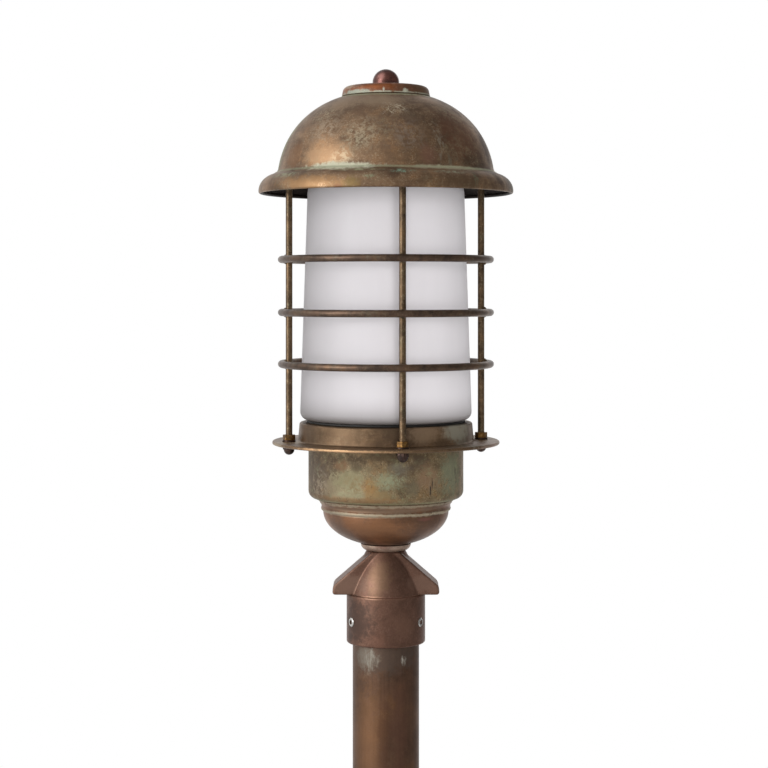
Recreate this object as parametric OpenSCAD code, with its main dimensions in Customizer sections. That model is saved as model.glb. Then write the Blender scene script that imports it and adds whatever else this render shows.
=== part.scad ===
// Post-top lantern with a spun hood, a brazed cage and an opal glass, on a tube pole.
// Millimetres, +Z up. The origin is the middle of the base flange, on the ground.
// The front of the lantern faces -Y.

/* [Base flange] */
// Diameter of the round plate on the ground
base_d = 190; // [172:1:260]
// Thickness of the plate
base_t = 10; // [8:0.5:16]
// Height of the hub above the plate
hub_h = 20; // [14:1:40]
// Wall of the hub around the pole
hub_wall = 8; // [5:0.5:12]
// Floor left under the pole inside the hub
hub_floor = 4; // [3:0.5:7]
// Diameter of the cable hole in the floor
cable_hole_d = 40; // [20:1:46]
// Diameter of the circle of anchor holes
anchor_pcd = 150; // [130:1:154]
// Diameter of each anchor hole
anchor_d = 11; // [8:0.5:14]
// Number of anchor holes
anchor_count = 4; // [3:1:8]

/* [Pole] */
// Outside diameter of the pole tube
pole_d = 60; // [54:1:70]
// Wall of the pole tube
pole_wall = 2.5; // [2:0.1:4]
// Length of pole that shows between the hub and the sleeve
pole_show = 452; // [200:1:2500]
// Play all round the pole in the hub and in the sleeve
pole_play = 0.3; // [0.1:0.05:0.6]

/* [Post cap] */
// Wall of the sleeve around the pole
sleeve_wall = 5.2; // [4:0.1:8]
// Height of the straight sleeve
sleeve_h = 44.5; // [42:0.5:70]
// Depth that the pole goes into the sleeve
pole_depth = 38; // [34:0.5:40]
// Height of the cone above the sleeve
cone_h = 38.4; // [32:0.2:60]
// Diameter of the flat seat on top of the cone
cone_top_d = 35; // [32:0.5:44]
// Step between the foot of the cone and the sleeve
cone_step = 0.6; // [0.2:0.1:2]
// How far the side of the cone bulges from a straight line
cone_bulge = 1.2; // [0.4:0.1:3]
// Thickness of the metal under the flat seat
cap_top_t = 8; // [6:0.5:12]
// Thickness of the two wings, front to back
wing_t = 34; // [20:1:44]
// Distance between the tips of the wings
wing_span = 96.2; // [88:0.2:120]
// Height of the upright end of each wing
wing_tip_h = 7.8; // [6.8:0.2:14]
// Width of the level ridge that the wings slope down from
wing_ridge_w = 24.6; // [12:0.2:30]
// Rounding where a wing's slope meets its end
wing_tip_round = 6; // [3:0.5:8]
// Rounding of the wings' long edges
wing_edge = 1.6; // [0.6:0.1:2.2]

/* [Set screws] */
// Diameter of the set screws
set_screw_d = 8; // [6:0.5:10]
// Height of the set screws above the sleeve's lower edge
set_screw_up = 20.4; // [12:0.2:28]
// How far a set screw stands out of the sleeve
set_screw_out = 0.9; // [0.2:0.1:2]
// Width of the hexagon socket across its flats
set_socket_af = 4; // [3:0.5:5]
// Number of set screws, one of them straight behind
set_screw_count = 3; // [3:2:5]

/* [Stem] */
// Diameter of the threaded stem that clamps cap, disc, bowl and canister together
stem_d = 16; // [15:0.5:18]
// Bore of the stem, the way for the supply cable
stem_bore = 11; // [10:0.5:12]
// Play round the stem in the pieces it goes through
stem_play = 0.2; // [0.1:0.05:0.4]
// Width of the stem nuts across their flats
stem_nut_af = 22; // [21:0.5:25]
// Height of the stem nuts
stem_nut_h = 6; // [4:0.5:8]
// Length of thread past each stem nut
stem_past = 2.4; // [1:0.2:5]
// Diameter of the round disc between post cap and bowl
neck_d = 45.4; // [42:0.2:56]
// Height of the disc
neck_h = 6.1; // [4:0.1:9]

/* [Bowl] */
// Widest diameter of the bowl
bowl_d = 113.4; // [106:0.2:130]
// Depth from the widest level down to the flat foot
bowl_depth = 29.7; // [22:0.1:40]
// Diameter of the flat foot
bowl_foot_d = 39.6; // [32:0.2:41]
// Wall of the bowl
bowl_wall = 2; // [1.2:0.1:3]
// Height of the moulded ledge above the widest level
ledge_h = 11.5; // [10:0.1:16]
// How far the ledge's upper bead stands out past the bowl
ledge_out = 4.4; // [3:0.1:6]
// Radius of the lower bead on the ledge
bead_low = 2; // [1:0.1:2.4]
// Radius of the upper bead on the ledge
bead_high = 1.2; // [0.8:0.1:1.6]

/* [Canister] */
// Outside diameter of the canister
can_d = 140; // [136:0.5:150]
// Height of the canister
can_h = 48.7; // [40:0.1:80]
// Wall of the canister
can_wall = 3; // [2:0.1:4.5]
// Rounding of the lower corner
can_corner = 6.8; // [5.2:0.1:9]
// Inside diameter of the floor ring
floor_hole_d = 100; // [92:1:104]
// Thickness of the ring at the top that takes the collar screws
top_ring_t = 4; // [3:0.5:6]

/* [Lamp] */
// Thickness of the round chassis plate
chassis_t = 2.5; // [1.5:0.1:4]
// Height of the bracket above the chassis plate
bracket_h = 74; // [60:1:84]
// Distance between the bracket's legs, outside
bracket_w = 76; // [70:1:84]
// Width of the bracket's strip
strip_w = 24; // [20:1:30]
// Thickness of the bracket's strip
strip_t = 2; // [1.5:0.1:2.5]
// Length of each foot of the bracket
foot_l = 15; // [13:0.5:16]
// Diameter of the small nipple under the lamp holder
nipple_d = 10; // [9.5:0.5:12]
// Bore of the small nipple
nipple_bore = 7; // [6.6:0.1:7.6]
// Outside diameter of the lamp holder
holder_d = 46; // [42:1:52]
// Height of the lamp holder
holder_h = 50; // [46:1:58]
// Diameter of the lamp's screw cap
bulb_cap_d = 26.4; // [25:0.1:27]
// Largest diameter of the lamp
bulb_d = 60; // [50:1:66]
// Length of the lamp above the rim of its holder
bulb_out = 86; // [78:1:110]
// Diameter of each lamp lead
lead_d = 2.2; // [1.6:0.1:2.6]

/* [Collar] */
// Thickness of the wide flange
flange_t = 3; // [2:0.1:5]
// How far the flange reaches past the circle of rods
flange_over = 14.6; // [9:0.2:24]
// Height of the collar above the flange
collar_h = 16.7; // [15.4:0.1:30]
// How far the top of the collar stands out past the glass
collar_proud = 0.3; // [0:0.1:5]
// How much the radius of the collar grows from top to flange
collar_flare = 1.4; // [0:0.1:4]
// Width of the inner shelf that takes the screws
shelf_w = 10.5; // [9.8:0.1:12]
// Thickness of the inner shelf
shelf_t = 4.1; // [3:0.1:4.6]
// Diameter of the four collar screws
collar_screw_d = 4; // [3:0.5:4.5]

/* [Glass] */
// Diameter of the glass at its foot
glass_foot_d = 155.4; // [148:0.2:162]
// Diameter of the glass at its top, before the corner is rounded
glass_top_d = 142.4; // [120:0.2:150]
// Height of the glass above the gasket
glass_h = 218.4; // [200:0.2:260]
// Wall of the glass
glass_wall = 4; // [3:0.1:5]
// Rounding of the glass's top corner
glass_shoulder = 27; // [20:1:50]
// Rounding of the glass's foot
glass_foot_round = 6.4; // [4.4:0.1:7]
// Width of the ring at the foot that sits on the gasket
glass_seat_w = 11.9; // [10.4:0.1:13]
// Length of the neck that goes down into the collar
glass_neck_h = 14.6; // [10:0.1:14.8]
// Play between the neck and the collar
glass_play = 0.7; // [0.3:0.1:1.5]
// Thickness of the rubber gasket
gasket_t = 3; // [1.5:0.1:5]

/* [Cage] */
// Diameter of the four rods
rod_d = 6; // [5:0.5:7]
// Distance from the foot of the collar to the middle of each rod
rod_gap = 8.6; // [8.2:0.1:14]
// Turn of the front rod to the right, in degrees
rod_turn = 9.3; // [0:0.1:45]
// Diameter of the ring wire
ring_wire_d = 6.5; // [4:0.1:8]
// Gap between each ring and the rods it is brazed to
braze_gap = 0.05; // [0.03:0.01:0.2]
// Height of the lower ring above the flange
ring_low_up = 69.1; // [40:0.1:85]
// Height of the middle ring above the flange
ring_mid_up = 115.6; // [95:0.1:130]
// Height of the upper ring above the flange
ring_top_up = 163.3; // [140:0.1:180]

/* [Small fasteners] */
// Play round a rod or stud in its hole
hole_play = 0.3; // [0.15:0.05:0.5]
// Play between a thread and its nut, all round
thread_play = 0.05; // [0.03:0.01:0.1]
// Width of the small nuts across their flats
nut_af = 10; // [9.5:0.1:11]
// Height of the small nuts
nut_h = 5; // [4:0.1:6]
// Diameter of the small washers
washer_d = 12; // [11:0.1:12.6]
// Thickness of the small washers
washer_t = 1.2; // [0.8:0.1:2]
// Height of the acorn nuts, dome included
acorn_h = 9; // [8.6:0.1:12]
// Length of thread past each small nut
thread_past = 2; // [0.5:0.1:3]

/* [Hood] */
// Free height between the glass and the spider
head_room = 5; // [5:0.1:12]
// Thickness of the spider plate
spider_t = 3; // [2:0.1:5]
// Width of the spider's rim and arms
spider_w = 14; // [12:0.5:18]
// Distance from the circle of rods out to the hood's crease
hood_room = 9.7; // [9.2:0.1:16]
// How far the crease lies below the underside of the spider
crease_drop = 1; // [0:0.1:4]
// Height of the crown above the crease
dome_h = 73.2; // [60:0.1:110]
// How far below the crease the dome would be widest
belly_drop = 16.7; // [6:0.1:30]
// Fullness of the dome, where 2 is an ellipse
dome_power = 2.27; // [2:0.01:3]
// How much of the crown is cut off flat
crown_cut = 1; // [0.6:0.1:2]
// How far the brim stands out past the crease
brim_out = 17.4; // [12:0.1:24]
// How far below the crease the brim is widest
brim_fall = 17.2; // [14:0.1:26]
// How far below the crease the top of the brim's curve lies
brim_dip = 1.6; // [0.6:0.1:3]
// Width of the brim's curve
brim_round = 18; // [14:0.1:26]
// Radius of the rolled edge
bead_r = 1.6; // [1.2:0.1:2.4]
// Wall of the spun sheet
hood_wall = 1.5; // [1:0.1:2]
// Diameter of the stud in the middle
stud_d = 6; // [5:0.5:7]

/* [Top cap] */
// Diameter of the top cap at its lower edge
cap_d = 80; // [64:0.2:100]
// How much the radius of the top cap shrinks towards the top
cap_taper = 1.8; // [0:0.1:4]
// Rounding of the top cap's upper edge
cap_round = 5; // [2:0.1:6]
// Wall of the top cap
cap_wall = 1.5; // [1:0.1:2]
// Thickness of the seal under the top cap
seal_t = 3.6; // [2:0.1:8]
// Diameter of the seal and of the washer under the crown
seal_d = 28; // [20:1:34]
// Diameter of the round finial nut
finial_d = 24.2; // [16:0.2:32]
// Height of the straight foot of the finial nut
finial_foot = 4; // [2:0.2:10]

/* [Hidden] */
$fn = 64;
// Overshoot of a cutting shape
cut = 1;
arc_steps = 7;

// Levels, from the ground up
hub_z = base_t + hub_h;
sleeve_z = hub_z + pole_show;
pole_seat_z = sleeve_z + pole_depth;
shoulder_z = sleeve_z + sleeve_h;
cap_seat_z = shoulder_z + cone_h;
cap_under_z = cap_seat_z - cap_top_t;
bowl_foot_z = cap_seat_z + neck_h;
bowl_wide_z = bowl_foot_z + bowl_depth;
can_z = bowl_wide_z + ledge_h;
chassis_z = can_z + can_wall;
chassis_top = chassis_z + chassis_t;
flange_z = can_z + can_h;
flange_top = flange_z + flange_t;
collar_top = flange_top + collar_h;
glass_seat_z = collar_top + gasket_t;
glass_top_z = glass_seat_z + glass_h;
spider_z = glass_top_z + head_room;
spider_top = spider_z + spider_t;
crease_z = spider_z - crease_drop;
crown_z = crease_z + dome_h - crown_cut;
cap_top_z = crown_z + seal_t + cap_wall;
bracket_z = chassis_top + bracket_h;

// Radii
sleeve_bore = pole_d / 2 + pole_play;
sleeve_r = sleeve_bore + sleeve_wall;
stem_hole = stem_d / 2 + stem_play;
can_r = can_d / 2;
floor_r = can_r - can_corner;
bowl_r = bowl_d / 2;
ledge_r = bowl_r + ledge_out;
glass_r = glass_foot_d / 2;
neck_r = glass_r - glass_seat_w;
collar_bore = neck_r + glass_play;
shelf_r = collar_bore - shelf_w;
collar_top_r = glass_r + collar_proud;
collar_foot_r = collar_top_r + collar_flare;
collar_screw_r = shelf_r + 5;
rod_ring_r = collar_foot_r + rod_gap;
ring_wire_r = ring_wire_d / 2;
ring_r = rod_ring_r + rod_d / 2 + ring_wire_r + braze_gap;
crease_r = rod_ring_r + hood_room;
brim_r = crease_r + brim_out;

// Hardware sizes that no driving size sets
fillet = 2;
hub_fillet = 6;
screw_head_h = 2.6;
chassis_screw_d = 4;
holder_bore = bulb_cap_d / 2 + 1.6;
holder_cup_h = 26;
nipple_nut_af = 14;
nipple_nut_h = 3;
terminal_size = [36, 16, 14];
terminal_y = 38;
terminal_bore = 3.6;
terminal_pitch = 11;
lead_x = terminal_pitch / 2;
lead_top = 7;

function unit(v) = v / norm(v);

// Wraps an angle into the half turn either side of zero
function wrap(a) = a > 180 ? a - 360 : a < -180 ? a + 360 : a;

function arc(centre, r, from, to, steps = arc_steps) = [
    for (i = [0 : steps])
        let (a = from + (to - from) * i / steps)
            centre + r * [cos(a), sin(a)]
];

// The round of radius r at corner b, between neighbours a and c
function rounded(a, b, c, r) =
    let (
        u = unit(a - b),
        v = unit(c - b),
        half = acos(u * v) / 2,
        centre = b + unit(u + v) * r / sin(half),
        p = b + u * r / tan(half) - centre,
        q = b + v * r / tan(half) - centre,
        start = atan2(p.y, p.x),
        sweep = wrap(atan2(q.y, q.x) - start)
    ) arc(centre, r, start, start + sweep);

// A closed outline from [x, y, corner radius] rows
function soften(rows) = [
    for (i = [0 : len(rows) - 1])
        let (
            a = rows[(i + len(rows) - 1) % len(rows)],
            b = rows[i],
            c = rows[(i + 1) % len(rows)]
        )
            each b[2] > 0
                ? rounded([a.x, a.y], [b.x, b.y], [c.x, c.y], b[2])
                : [[b.x, b.y]]
];

function reverse(list) = [for (i = [len(list) - 1 : -1 : 0]) list[i]];

// The direction to the right of travel from a to b
function side(a, b) = let (d = unit(b - a)) [d.y, -d.x];

// Moves a path sideways by t, to the right of its travel, with mitred corners
function beside(path, t, closed = false) =
    let (n = len(path))
    [
        for (i = [0 : n - 1])
            let (
                before = closed ? (i + n - 1) % n : max(i - 1, 0),
                after = closed ? (i + 1) % n : min(i + 1, n - 1),
                m = before == i ? side(path[i], path[after]) : side(path[before], path[i]),
                k = after == i ? m : side(path[i], path[after])
            )
                path[i] + t * (m + k) / (1 + m * k)
    ];

// The section of a sheet of thickness t that lies to the right of a path
function sheet(path, t) = concat(path, reverse(beside(path, t)));

module turned(points) {
    rotate_extrude() polygon(points);
}

module ring(inner, outer, from, to) {
    turned([[inner, from], [outer, from], [outer, to], [inner, to]]);
}

module at_rods() {
    for (i = [0 : 3])
        rotate([0, 0, rod_turn + 90 * i]) translate([0, -rod_ring_r, 0]) children();
}

// A hexagon nut with both faces chamfered, standing on z = 0
module hex_nut(af, height, bore) {
    corner = af / 2 / cos(30);
    chamfer = (corner - af / 2) * 0.6;
    difference() {
        intersection() {
            cylinder(r = corner, h = height, $fn = 6);
            turned([
                [0, 0], [af / 2, 0], [corner, chamfer],
                [corner, height - chamfer], [af / 2, height], [0, height]
            ]);
        }
        translate([0, 0, -cut]) cylinder(r = bore, h = height + 2 * cut);
    }
}

// A round-headed screw, its head standing on z = 0 and its shank below
module pan_screw(d, length) {
    head_r = d * 0.95;
    turned(soften([
        [0, -length, 0], [d / 2, -length, 0.4], [d / 2, 0, 0], [head_r, 0, 0],
        [head_r, screw_head_h, 1.2], [0, screw_head_h, 0]
    ]));
}

module slotted_screw(d, length) {
    difference() {
        pan_screw(d, length);
        translate([-d, -d * 0.12, screw_head_h * 0.55]) cube([2 * d, d * 0.24, screw_head_h]);
    }
}

module base_flange() {
    hub_r = sleeve_bore + hub_wall;
    color("#6b5340") difference() {
        turned(soften([
            [cable_hole_d / 2, 0, 0], [base_d / 2, 0, 0.6], [base_d / 2, base_t, fillet],
            [hub_r, base_t, hub_fillet], [hub_r, hub_z, fillet], [sleeve_bore, hub_z, 0.6],
            [sleeve_bore, hub_floor, 0], [cable_hole_d / 2, hub_floor, 0.6]
        ]));
        for (i = [0 : anchor_count - 1])
            rotate([0, 0, 45 + 360 * i / anchor_count])
                translate([0, -anchor_pcd / 2, -cut])
                    cylinder(d = anchor_d, h = base_t + 2 * cut);
    }
}

module pole() {
    color("#7a5e46") ring(pole_d / 2 - pole_wall, pole_d / 2, hub_floor, pole_seat_z);
}

// Half of the wings' outline, seen from the front, from the ridge to the foot
function wing_side() = [
    [wing_ridge_w / 2, cap_seat_z, 0],
    [wing_span / 2 - 0.5, shoulder_z + wing_tip_h, wing_tip_round],
    [wing_span / 2, shoulder_z, 2.4]
];

function wing_outline() = soften(concat(
    wing_side(),
    [for (p = reverse(wing_side())) [-p.x, p.y, p[2]]]
));

// One layer of the wings' slab: inset by a share of the edge rounding
module wing_layer(inset, thickness) {
    rotate([90, 0, 0])
        linear_extrude(thickness, center = true)
            polygon(beside(wing_outline(), inset, closed = true));
}

// Both wings are one slab through the cone, with its long edges rounded
module wings() {
    hull() {
        wing_layer(0, wing_t - 2 * wing_edge);
        wing_layer(wing_edge * 0.3, wing_t - 0.6 * wing_edge);
        wing_layer(wing_edge, wing_t);
    }
}

module cone_body() {
    foot_r = sleeve_r - cone_step;
    top_r = cone_top_d / 2;
    turned(concat(
        soften([
            [0, cap_seat_z - cap_top_t, 0], [0, sleeve_z, 0], [sleeve_r, sleeve_z, 1.6],
            [sleeve_r, shoulder_z, 0.5], [foot_r, shoulder_z, 0]
        ]),
        [
            for (i = [1 : arc_steps])
                let (s = i / arc_steps)
                    [
                        foot_r + (top_r - foot_r) * s + cone_bulge * sin(180 * s),
                        shoulder_z + cone_h * s
                    ]
        ],
        [[0, cap_seat_z]]
    ));
}

module at_set_screws() {
    for (i = [0 : set_screw_count - 1])
        rotate([0, 0, 180 + 360 * i / set_screw_count])
            translate([0, 0, sleeve_z + set_screw_up])
                rotate([90, 0, 0]) children();
}

module post_cap() {
    seat_r = pole_d / 2 - pole_wall - 1.5;
    room_r = stem_nut_af / 2 / cos(30) + 2;
    color("#6e4e41") difference() {
        union() {
            cone_body();
            wings();
        }
        turned([
            [0, sleeve_z - cut], [sleeve_bore, sleeve_z - cut], [sleeve_bore, pole_seat_z],
            [seat_r, pole_seat_z], [seat_r, shoulder_z], [room_r, cap_under_z], [0, cap_under_z]
        ]);
        translate([0, 0, cap_under_z - cut]) cylinder(r = stem_hole, h = cap_top_t + 2 * cut);
        at_set_screws() cylinder(r = set_screw_d / 2 + thread_play, h = sleeve_r + cut);
    }
}

module set_screws() {
    tip = pole_d / 2 + thread_play;
    head = sleeve_r + set_screw_out;
    r = set_screw_d / 2;
    color("#c9c6c0") at_set_screws() difference() {
        turned(soften([
            [0, tip, 0], [r - 1.2, tip, 0], [r, tip + 1.2, 0], [r, head, 0.7], [0, head, 0]
        ]));
        translate([0, 0, head - 3.4])
            cylinder(r = set_socket_af / 2 / cos(30), h = 3.4 + cut, $fn = 6);
    }
}

module stem_nipple() {
    color("#8c7a55") ring(
        stem_bore / 2, stem_d / 2,
        cap_under_z - stem_nut_h - stem_past,
        chassis_top + stem_nut_h + stem_past
    );
}

module stem_nut_lower() {
    color("#8c7a55") translate([0, 0, cap_under_z - stem_nut_h])
        hex_nut(stem_nut_af, stem_nut_h, stem_d / 2 + thread_play);
}

module stem_nut_upper() {
    color("#8c7a55") translate([0, 0, chassis_top])
        hex_nut(stem_nut_af, stem_nut_h, stem_d / 2 + thread_play);
}

module neck_disc() {
    color("#7d6e5c") turned(concat(
        [[stem_hole, cap_seat_z]],
        arc([neck_d / 2 - neck_h, bowl_foot_z], neck_h, -90, 0),
        [[stem_hole, bowl_foot_z]]
    ));
}

// The bowl's outside from the hole in its foot up to its widest level
function bowl_path() =
    let (
        foot = bowl_foot_d / 2,
        full = bowl_depth / sqrt(1 - pow(foot / bowl_r, 2)),
        from = asin(foot / bowl_r)
    )
    concat(
        [[stem_hole, bowl_foot_z]],
        [
            for (i = [0 : 2 * arc_steps])
                let (a = from + (90 - from) * i / (2 * arc_steps))
                    [bowl_r * sin(a), bowl_wide_z - full * cos(a)]
        ]
    );

// Two beads with a shallow cove between them, under the canister's rounded corner
module ledge_section() {
    cove = 4;
    low = [bowl_r - 0.1, bowl_wide_z + bead_low + 0.3];
    high = [ledge_r - bead_high, can_z - bead_high - 0.1];
    away = side(low, high);
    inner = bowl_r - bowl_wall;
    seat_in = inner - 3.3;
    lip = can_z - bowl_wall - 0.4;
    difference() {
        polygon([
            [bowl_r - bowl_wall, bowl_wide_z], [bowl_r, bowl_wide_z], low + bead_low * away / 2,
            high + bead_high * away / 2, [high.x, can_z], [seat_in, can_z],
            [seat_in, lip], [inner - 0.4, lip]
        ]);
        translate((low + high) / 2 + (cove + 0.3) * away) circle(r = cove);
    }
    translate(low) circle(r = bead_low);
    translate(high) circle(r = bead_high);
}

module base_bowl() {
    color("#8b5f46") rotate_extrude() {
        polygon(sheet(bowl_path(), -bowl_wall));
        ledge_section();
    }
}

module at_collar_screws() {
    for (i = [0 : 3])
        rotate([0, 0, rod_turn + 45 + 90 * i]) translate([0, -collar_screw_r, 0]) children();
}

module lamp_canister() {
    inner = can_r - can_wall;
    color("#7b7159") difference() {
        turned(soften([
            [floor_hole_d / 2, can_z, 0.5], [can_r, can_z, can_corner],
            [can_r, flange_z, 0], [shelf_r, flange_z, 0],
            [shelf_r, flange_z - top_ring_t, 0], [inner, flange_z - top_ring_t, 1],
            [inner, chassis_z, can_corner - can_wall], [floor_hole_d / 2, chassis_z, 0.5]
        ]));
        at_collar_screws()
            translate([0, 0, flange_z - top_ring_t - cut])
                cylinder(r = collar_screw_d / 2 + thread_play, h = top_ring_t + 2 * cut);
    }
}

module at_chassis_screws() {
    for (s = [-1, 1])
        translate([s * (bracket_w / 2 + foot_l * 0.55), 0, chassis_top]) children();
}

module at_earth_screw() {
    translate([0, -terminal_y, chassis_top]) children();
}

module chassis_plate() {
    hole = chassis_screw_d / 2 + thread_play;
    color("#a8a49a") difference() {
        ring(stem_hole, floor_r - 0.5, chassis_z, chassis_top);
        at_chassis_screws() translate([0, 0, -chassis_t - cut]) cylinder(r = hole, h = 9);
        at_earth_screw() translate([0, 0, -chassis_t - cut]) cylinder(r = hole, h = 9);
    }
}

module cable_grommet() {
    foot = chassis_top + stem_nut_h + stem_past;
    color("#26241f") turned(soften([
        [stem_bore / 2 - 1.5, foot - 6, 0], [stem_bore / 2 - 0.05, foot - 6, 0.3],
        [stem_bore / 2 - 0.05, foot, 0], [stem_d / 2 + 1, foot, 0.4],
        [stem_d / 2 + 1, foot + 2.5, 1], [stem_bore / 2 - 1.5, foot + 2.5, 0.4]
    ]));
}

module terminal_block() {
    size = terminal_size;
    color("#e6e0d0") difference() {
        translate([-size.x / 2, terminal_y - size.y / 2, chassis_top]) cube(size);
        for (i = [-1 : 1]) translate([i * terminal_pitch, terminal_y, 0]) {
            translate([0, size.y, chassis_top + size.z / 2])
                rotate([90, 0, 0]) cylinder(d = terminal_bore, h = 2 * size.y);
            for (s = [-1, 1])
                translate([0, s * size.y / 4, chassis_top + size.z / 2])
                    cylinder(d = terminal_bore, h = size.z);
        }
    }
}

module earth_screw() {
    color("#9a8a5a") at_earth_screw() slotted_screw(chassis_screw_d, chassis_t + 3);
}

module holder_bracket() {
    leg = bracket_w / 2;
    foot = chassis_top + strip_t;
    // The outside of the strip from the middle of the top over one leg to its foot
    half = concat(
        rounded([0, bracket_z], [leg, bracket_z], [leg, foot], 2 * strip_t),
        rounded([leg, bracket_z], [leg, foot], [leg + foot_l, foot], 1),
        [[leg + foot_l, foot]]
    );
    path = concat([for (p = reverse(half)) [-p.x, p.y]], half);
    color("#a8a49a") difference() {
        rotate([90, 0, 0])
            linear_extrude(strip_w, center = true) polygon(sheet(path, strip_t));
        at_chassis_screws() translate([0, 0, -cut])
            cylinder(r = chassis_screw_d / 2 + hole_play, h = strip_t + 2 * cut);
        translate([0, 0, bracket_z - strip_t - cut])
            cylinder(r = nipple_d / 2 + hole_play, h = strip_t + 2 * cut);
    }
}

module bracket_screws() {
    color("#9a8a5a") at_chassis_screws()
        translate([0, 0, strip_t]) slotted_screw(chassis_screw_d, strip_t + chassis_t + 2);
}

module holder_nipple() {
    color("#9a8a5a") ring(
        nipple_bore / 2, nipple_d / 2,
        bracket_z - strip_t - nipple_nut_h - 1.5, bracket_z + lead_top
    );
}

module holder_nut() {
    color("#9a8a5a") translate([0, 0, bracket_z - strip_t - nipple_nut_h])
        hex_nut(nipple_nut_af, nipple_nut_h, nipple_d / 2 + thread_play);
}

module lamp_holder() {
    r = holder_d / 2;
    top = bracket_z + holder_h;
    cup = top - holder_cup_h;
    entry = nipple_d / 2 + thread_play;
    color("#f1eee6") turned(soften([
        [entry, bracket_z, 0], [r - 6, bracket_z, 1.5], [r - 6, bracket_z + 14, 2],
        [r, bracket_z + 20, 3], [r, top, 2], [holder_bore + 0.9, top, 0.8],
        [holder_bore + 0.9, cup, 0], [lead_d, cup, 0.4], [lead_d, bracket_z + lead_top, 0],
        [entry, bracket_z + lead_top, 0]
    ]));
}

module holder_shell() {
    top = bracket_z + holder_h - 3;
    color("#b9a25f") ring(holder_bore, holder_bore + 0.8, bracket_z + holder_h - holder_cup_h, top);
}

// A pear-shaped lamp with its cap, all one sealed piece
module bulb() {
    foot = bracket_z + holder_h - holder_cup_h + 0.3;
    rim = bracket_z + holder_h;
    cap_r = bulb_cap_d / 2;
    neck = cap_r + 1;
    globe_r = bulb_d / 2;
    globe = [0, rim + bulb_out - globe_r];
    lean = 40;
    start = globe + globe_r * [cos(lean), -sin(lean)];
    color("#f4f2ec") turned(concat(
        [[0, foot], [5, foot], [cap_r, foot + 6], [cap_r, rim + 1], [neck, rim + 2]],
        rounded([neck, rim], [neck, start.y - (start.x - neck) / tan(lean)], start, 20),
        arc(globe, globe_r, -lean, 90, 3 * arc_steps)
    ));
}

function bezier(p, t) =
    pow(1 - t, 3) * p[0] + 3 * t * pow(1 - t, 2) * p[1]
    + 3 * t * t * (1 - t) * p[2] + pow(t, 3) * p[3];

// A round wire of radius r swept along a Bezier curve whose travel stays off the X axis
module wire(p, r, rings = 22, sides = 8) {
    spots = [for (i = [0 : rings]) bezier(p, i / rings)];
    points = [
        for (i = [0 : rings])
            let (
                d = unit(spots[min(i + 1, rings)] - spots[max(i - 1, 0)]),
                u = unit([1, 0, 0] - (d * [1, 0, 0]) * d),
                v = cross(d, u)
            )
                for (k = [0 : sides - 1])
                    spots[i] + r * (cos(360 * k / sides) * u + sin(360 * k / sides) * v)
    ];
    walls = [
        for (i = [0 : rings - 1], k = [0 : sides - 1])
            let (n = (k + 1) % sides)
                [i * sides + k, (i + 1) * sides + k, (i + 1) * sides + n, i * sides + n]
    ];
    polyhedron(points, concat(
        walls,
        [[for (k = [0 : sides - 1]) k], [for (k = [sides - 1 : -1 : 0]) rings * sides + k]]
    ));
}

module lamp_leads() {
    level = chassis_top + terminal_size.z / 2;
    front = terminal_y - terminal_size.y / 2;
    color("#3d3a36") for (s = [-1, 1]) wire([
        [s * terminal_pitch, front + 3, level],
        [s * terminal_pitch, front - 12, level],
        [s * lead_d * 0.6, 0, level + 14],
        [s * lead_d * 0.6, 0, bracket_z + lead_top - 1]
    ], lead_d / 2);
}

module glass_collar() {
    edge = flange_t * 0.45;
    out = rod_ring_r + flange_over;
    color("#6a5544") difference() {
        turned(soften([
            [shelf_r, flange_z, 0.5], [out, flange_z, edge], [out, flange_top, edge],
            [collar_foot_r, flange_top, fillet], [collar_top_r, collar_top, 2],
            [collar_bore, collar_top, 0.5], [collar_bore, flange_z + shelf_t, 0.5],
            [shelf_r, flange_z + shelf_t, 0.5]
        ]));
        at_rods() translate([0, 0, flange_z - cut])
            cylinder(r = rod_d / 2 + hole_play, h = flange_t + 2 * cut);
        at_collar_screws() translate([0, 0, flange_z - cut])
            cylinder(r = collar_screw_d / 2 + hole_play, h = shelf_t + 2 * cut);
    }
}

module collar_screws() {
    color("#9a8a5a") at_collar_screws()
        translate([0, 0, flange_z + shelf_t])
            slotted_screw(collar_screw_d, shelf_t + top_ring_t + 2);
}

module glass_gasket() {
    color("#1d1b19") turned(soften([
        [neck_r + 0.5, collar_top, 0], [glass_r - 4.2, collar_top, 0.6],
        [glass_r - 4.2, glass_seat_z, 0.6], [neck_r + 0.5, glass_seat_z, 0]
    ]));
}

// The outside of the glass, from the neck's lower rim to the middle of the top
function glass_path() =
    let (
        foot = [glass_r, glass_seat_z],
        corner = [glass_top_d / 2, glass_top_z]
    )
    concat(
        [[neck_r, glass_seat_z - glass_neck_h], [neck_r, glass_seat_z]],
        rounded([neck_r, glass_seat_z], foot, corner, glass_foot_round),
        rounded(foot, corner, [0, glass_top_z], glass_shoulder),
        [[0, glass_top_z]]
    );

module glass_diffuser() {
    color("#dedcdc", 0.9) turned(sheet(glass_path(), -glass_wall));
}

module rod() {
    translate([0, 0, flange_z - acorn_h * 0.6])
        cylinder(d = rod_d, h = spider_top + nut_h + thread_past - flange_z + acorn_h * 0.6);
}

// One rod of the cage, a number of quarter turns on from the front
module cage_rod(quarter) {
    color("#6f5f4a") rotate([0, 0, rod_turn + 90 * quarter])
        translate([0, -rod_ring_r, 0]) rod();
}

module cage_rod_front() {
    cage_rod(0);
}

module cage_rod_right() {
    cage_rod(1);
}

module cage_rod_back() {
    cage_rod(2);
}

module cage_rod_left() {
    cage_rod(3);
}

module cage_ring(up) {
    color("#6f5f4a") translate([0, 0, flange_top + up])
        rotate_extrude() translate([ring_r, 0]) circle(r = ring_wire_r);
}

module cage_ring_lower() {
    cage_ring(ring_low_up);
}

module cage_ring_middle() {
    cage_ring(ring_mid_up);
}

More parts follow.
